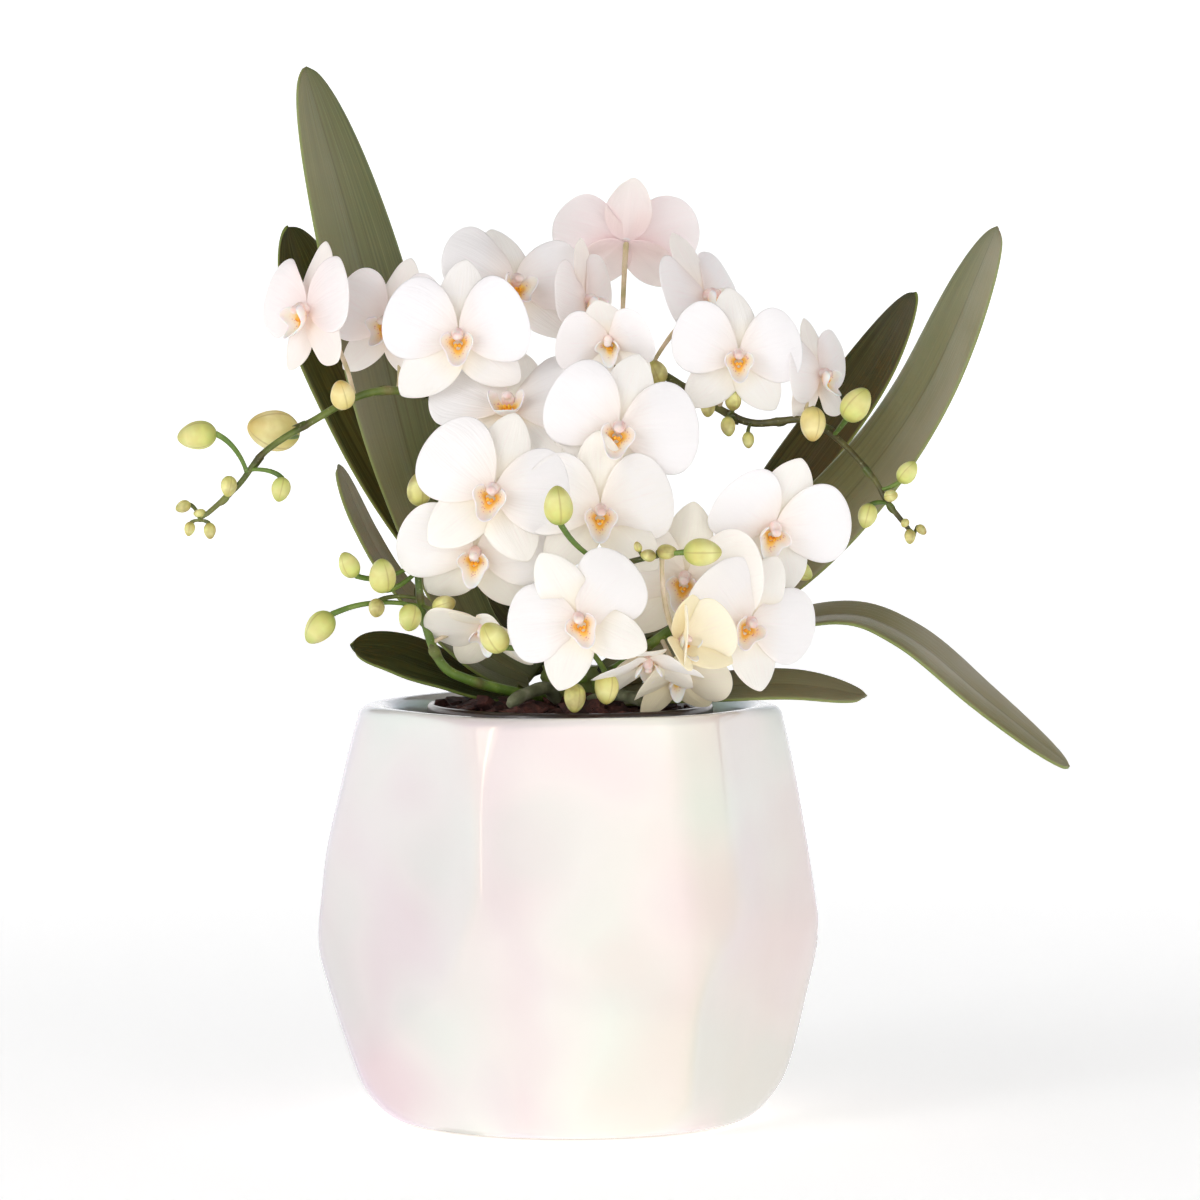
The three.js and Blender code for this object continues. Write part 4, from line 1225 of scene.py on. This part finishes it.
# small closed buds at the ends of the spikes and along them: the middle in mm, turn, lift and size
tinyBuds = {
    "spike_upper_left": [
        ((-114, -36, 186), -60, -20, 0.45), ((-112, -38, 179.5), -30, -70, 0.4),
        ((-106, -39, 179), 20, -80, 0.45),
        ((-100.5, -37, 192), -10, -60, 0.6), ((-109, -37, 184), -80, 0, 0.35),
    ],
    "spike_upper_right": [
        ((95, -32, 189), 40, 10, 0.45), ((100.5, -33, 177), 0, -70, 0.42), ((104, -33, 179), 50, -40, 0.34),
        ((99, -34, 181), -30, -30, 0.3), ((25.5, -11, 225), -20, 40, 0.85), ((31, -14, 218), 10, -60, 0.5),
        ((36, -15, 216), -10, -70, 0.5), ((41, -17, 214.5), 0, -60, 0.55), ((48.5, -19, 217), 10, 80, 0.6),
        ((47, -20, 209), 20, -70, 0.55), ((53, -20, 205), 20, -80, 0.45),
    ],
    "spike_low_left": [
        ((-57, -37, 156), 0, -40, 0.6), ((-37, -37, 157), 60, 20, 0.7), ((-44.5, -35, 191), -10, 80, 0.9),
    ],
    "spike_front": [
        ((28.5, -60, 174), 88, 0, 0.55), ((23, -61, 173), -60, 10, 0.45), ((20, -60, 175.5), -40, 60, 0.3),
        ((1.5, -50, 130.5), 0, -75, 0.8), ((1.5, -49, 138), 0, -80, 0.5),
    ],
}


def addTinyBuds():
    for spikeName, group in tinyBuds.items():
        bm = bmesh.new()
        for place, turn, lift, size in group:
            aim, length = facing(turn, lift, 0), budShape["length"] * size
            budBody(bm, 0, Vector(place), aim, length, length * (budShape["width"] + 0.04), 12, 8)
            addStalk(bm, 1, Vector(place), aim, length, spikeName, -0.42)
        bmesh.ops.scale(bm, vec=(mm, mm, mm), verts=bm.verts[:])
        made = toObject("tips_" + spikeName, bm, [youngBud, stem])
        setShare(made, "ripeness", 0.4)
        setShare(made, "age", 0.75)
        subdivide(made)
        settle(made, spikeName)


addTinyBuds()
print("small buds made")


# floor and light
stageShape = {"reach": 4.5, "curve": 1.2, "height": 2.4, "drop": 0.0002}


def addStage():  # a round floor that curves up into a wall, so every side has the same pale background
    reach, curve = stageShape["reach"], stageShape["curve"]
    bends = [0.5 * math.pi * i / 12 for i in range(13)]
    profile = [(0.4, 0), (1.5, 0)] + [(reach - curve + curve * math.sin(a),
                                       curve - curve * math.cos(a)) for a in bends]
    bm = bmesh.new()
    verts = [bm.verts.new((r, 0, z - stageShape["drop"])) for r,
             z in profile + [(reach, stageShape["height"])]]
    edges = [bm.edges.new(pair) for pair in zip(verts, verts[1:])]
    bmesh.ops.spin(bm, geom=verts + edges, angle=math.tau, steps=72, axis=(0, 0, 1), cent=(0, 0, 0),
                   use_merge=True)
    inside = [edge for edge in bm.edges if edge.is_boundary and edge.calc_length() < 0.1]
    bmesh.ops.holes_fill(bm, edges=inside, sides=0)
    bmesh.ops.recalc_face_normals(bm, faces=bm.faces[:])
    bmesh.ops.reverse_faces(bm, faces=bm.faces[:])
    paper, tree, shader = newMaterial("litBackdrop", Base_Color=colour("#fafafa"), Roughness=0.9,
                                      Emission_Color=colour("#ffffff"))
    away = put(tree, "ShaderNodeVectorMath", {0: objectPlace(tree)}, operation="LENGTH").outputs["Value"]
    tree.links.new(ramp(tree, away, [(0.15, "#b2b2b2"), (0.9, "#cdcdcd")]),
                   shader.inputs["Emission Strength"])
    floor = toObject("floor", bm, [paper])


def addLight(name, place, aimAt, size, power, tint="#ffffff"):
    data = bpy.data.lights.new(name, "AREA")
    data.shape = "RECTANGLE"
    data.size, data.size_y = size
    data.energy = power
    data.color = colour(tint)[:3]
    lamp = bpy.data.objects.new(name, data)
    lamp.location = place
    lamp.rotation_euler = (Vector(aimAt) - Vector(place)).to_track_quat("-Z", "Y").to_euler()
    bpy.context.collection.objects.link(lamp)


addStage()
addLight("keySoftbox", (-1.1, -1.2, 1.2), (0, 0, 0.15), (0.9, 1.2), 5)
addLight("windowRight", (0.75, -1.3, 0.75), (0, 0, 0.1), (0.4, 0.9), 1.7)
addLight("stripLeft", (-0.85, -1.0, 0.4), (0, 0, 0.08), (0.1, 1.5), 2.2)
addLight("topSoft", (0, 0.2, 1.8), (0, 0, 0.1), (1.4, 1.4), 1.4)
addLight("windowFront", (0.55, -1.5, 0.34), (0, 0, 0.1), (0.3, 0.42), 0.22, "#fff4fb")
world = bpy.data.worlds.new("softRoom")
world.use_nodes = True
world.node_tree.nodes["Background"].inputs["Color"].default_value = colour("#fffcfd")
world.node_tree.nodes["Background"].inputs["Strength"].default_value = 0.1
bpy.context.scene.world = world
bpy.context.scene.view_settings.view_transform = "Standard"
print("stage and lights made")
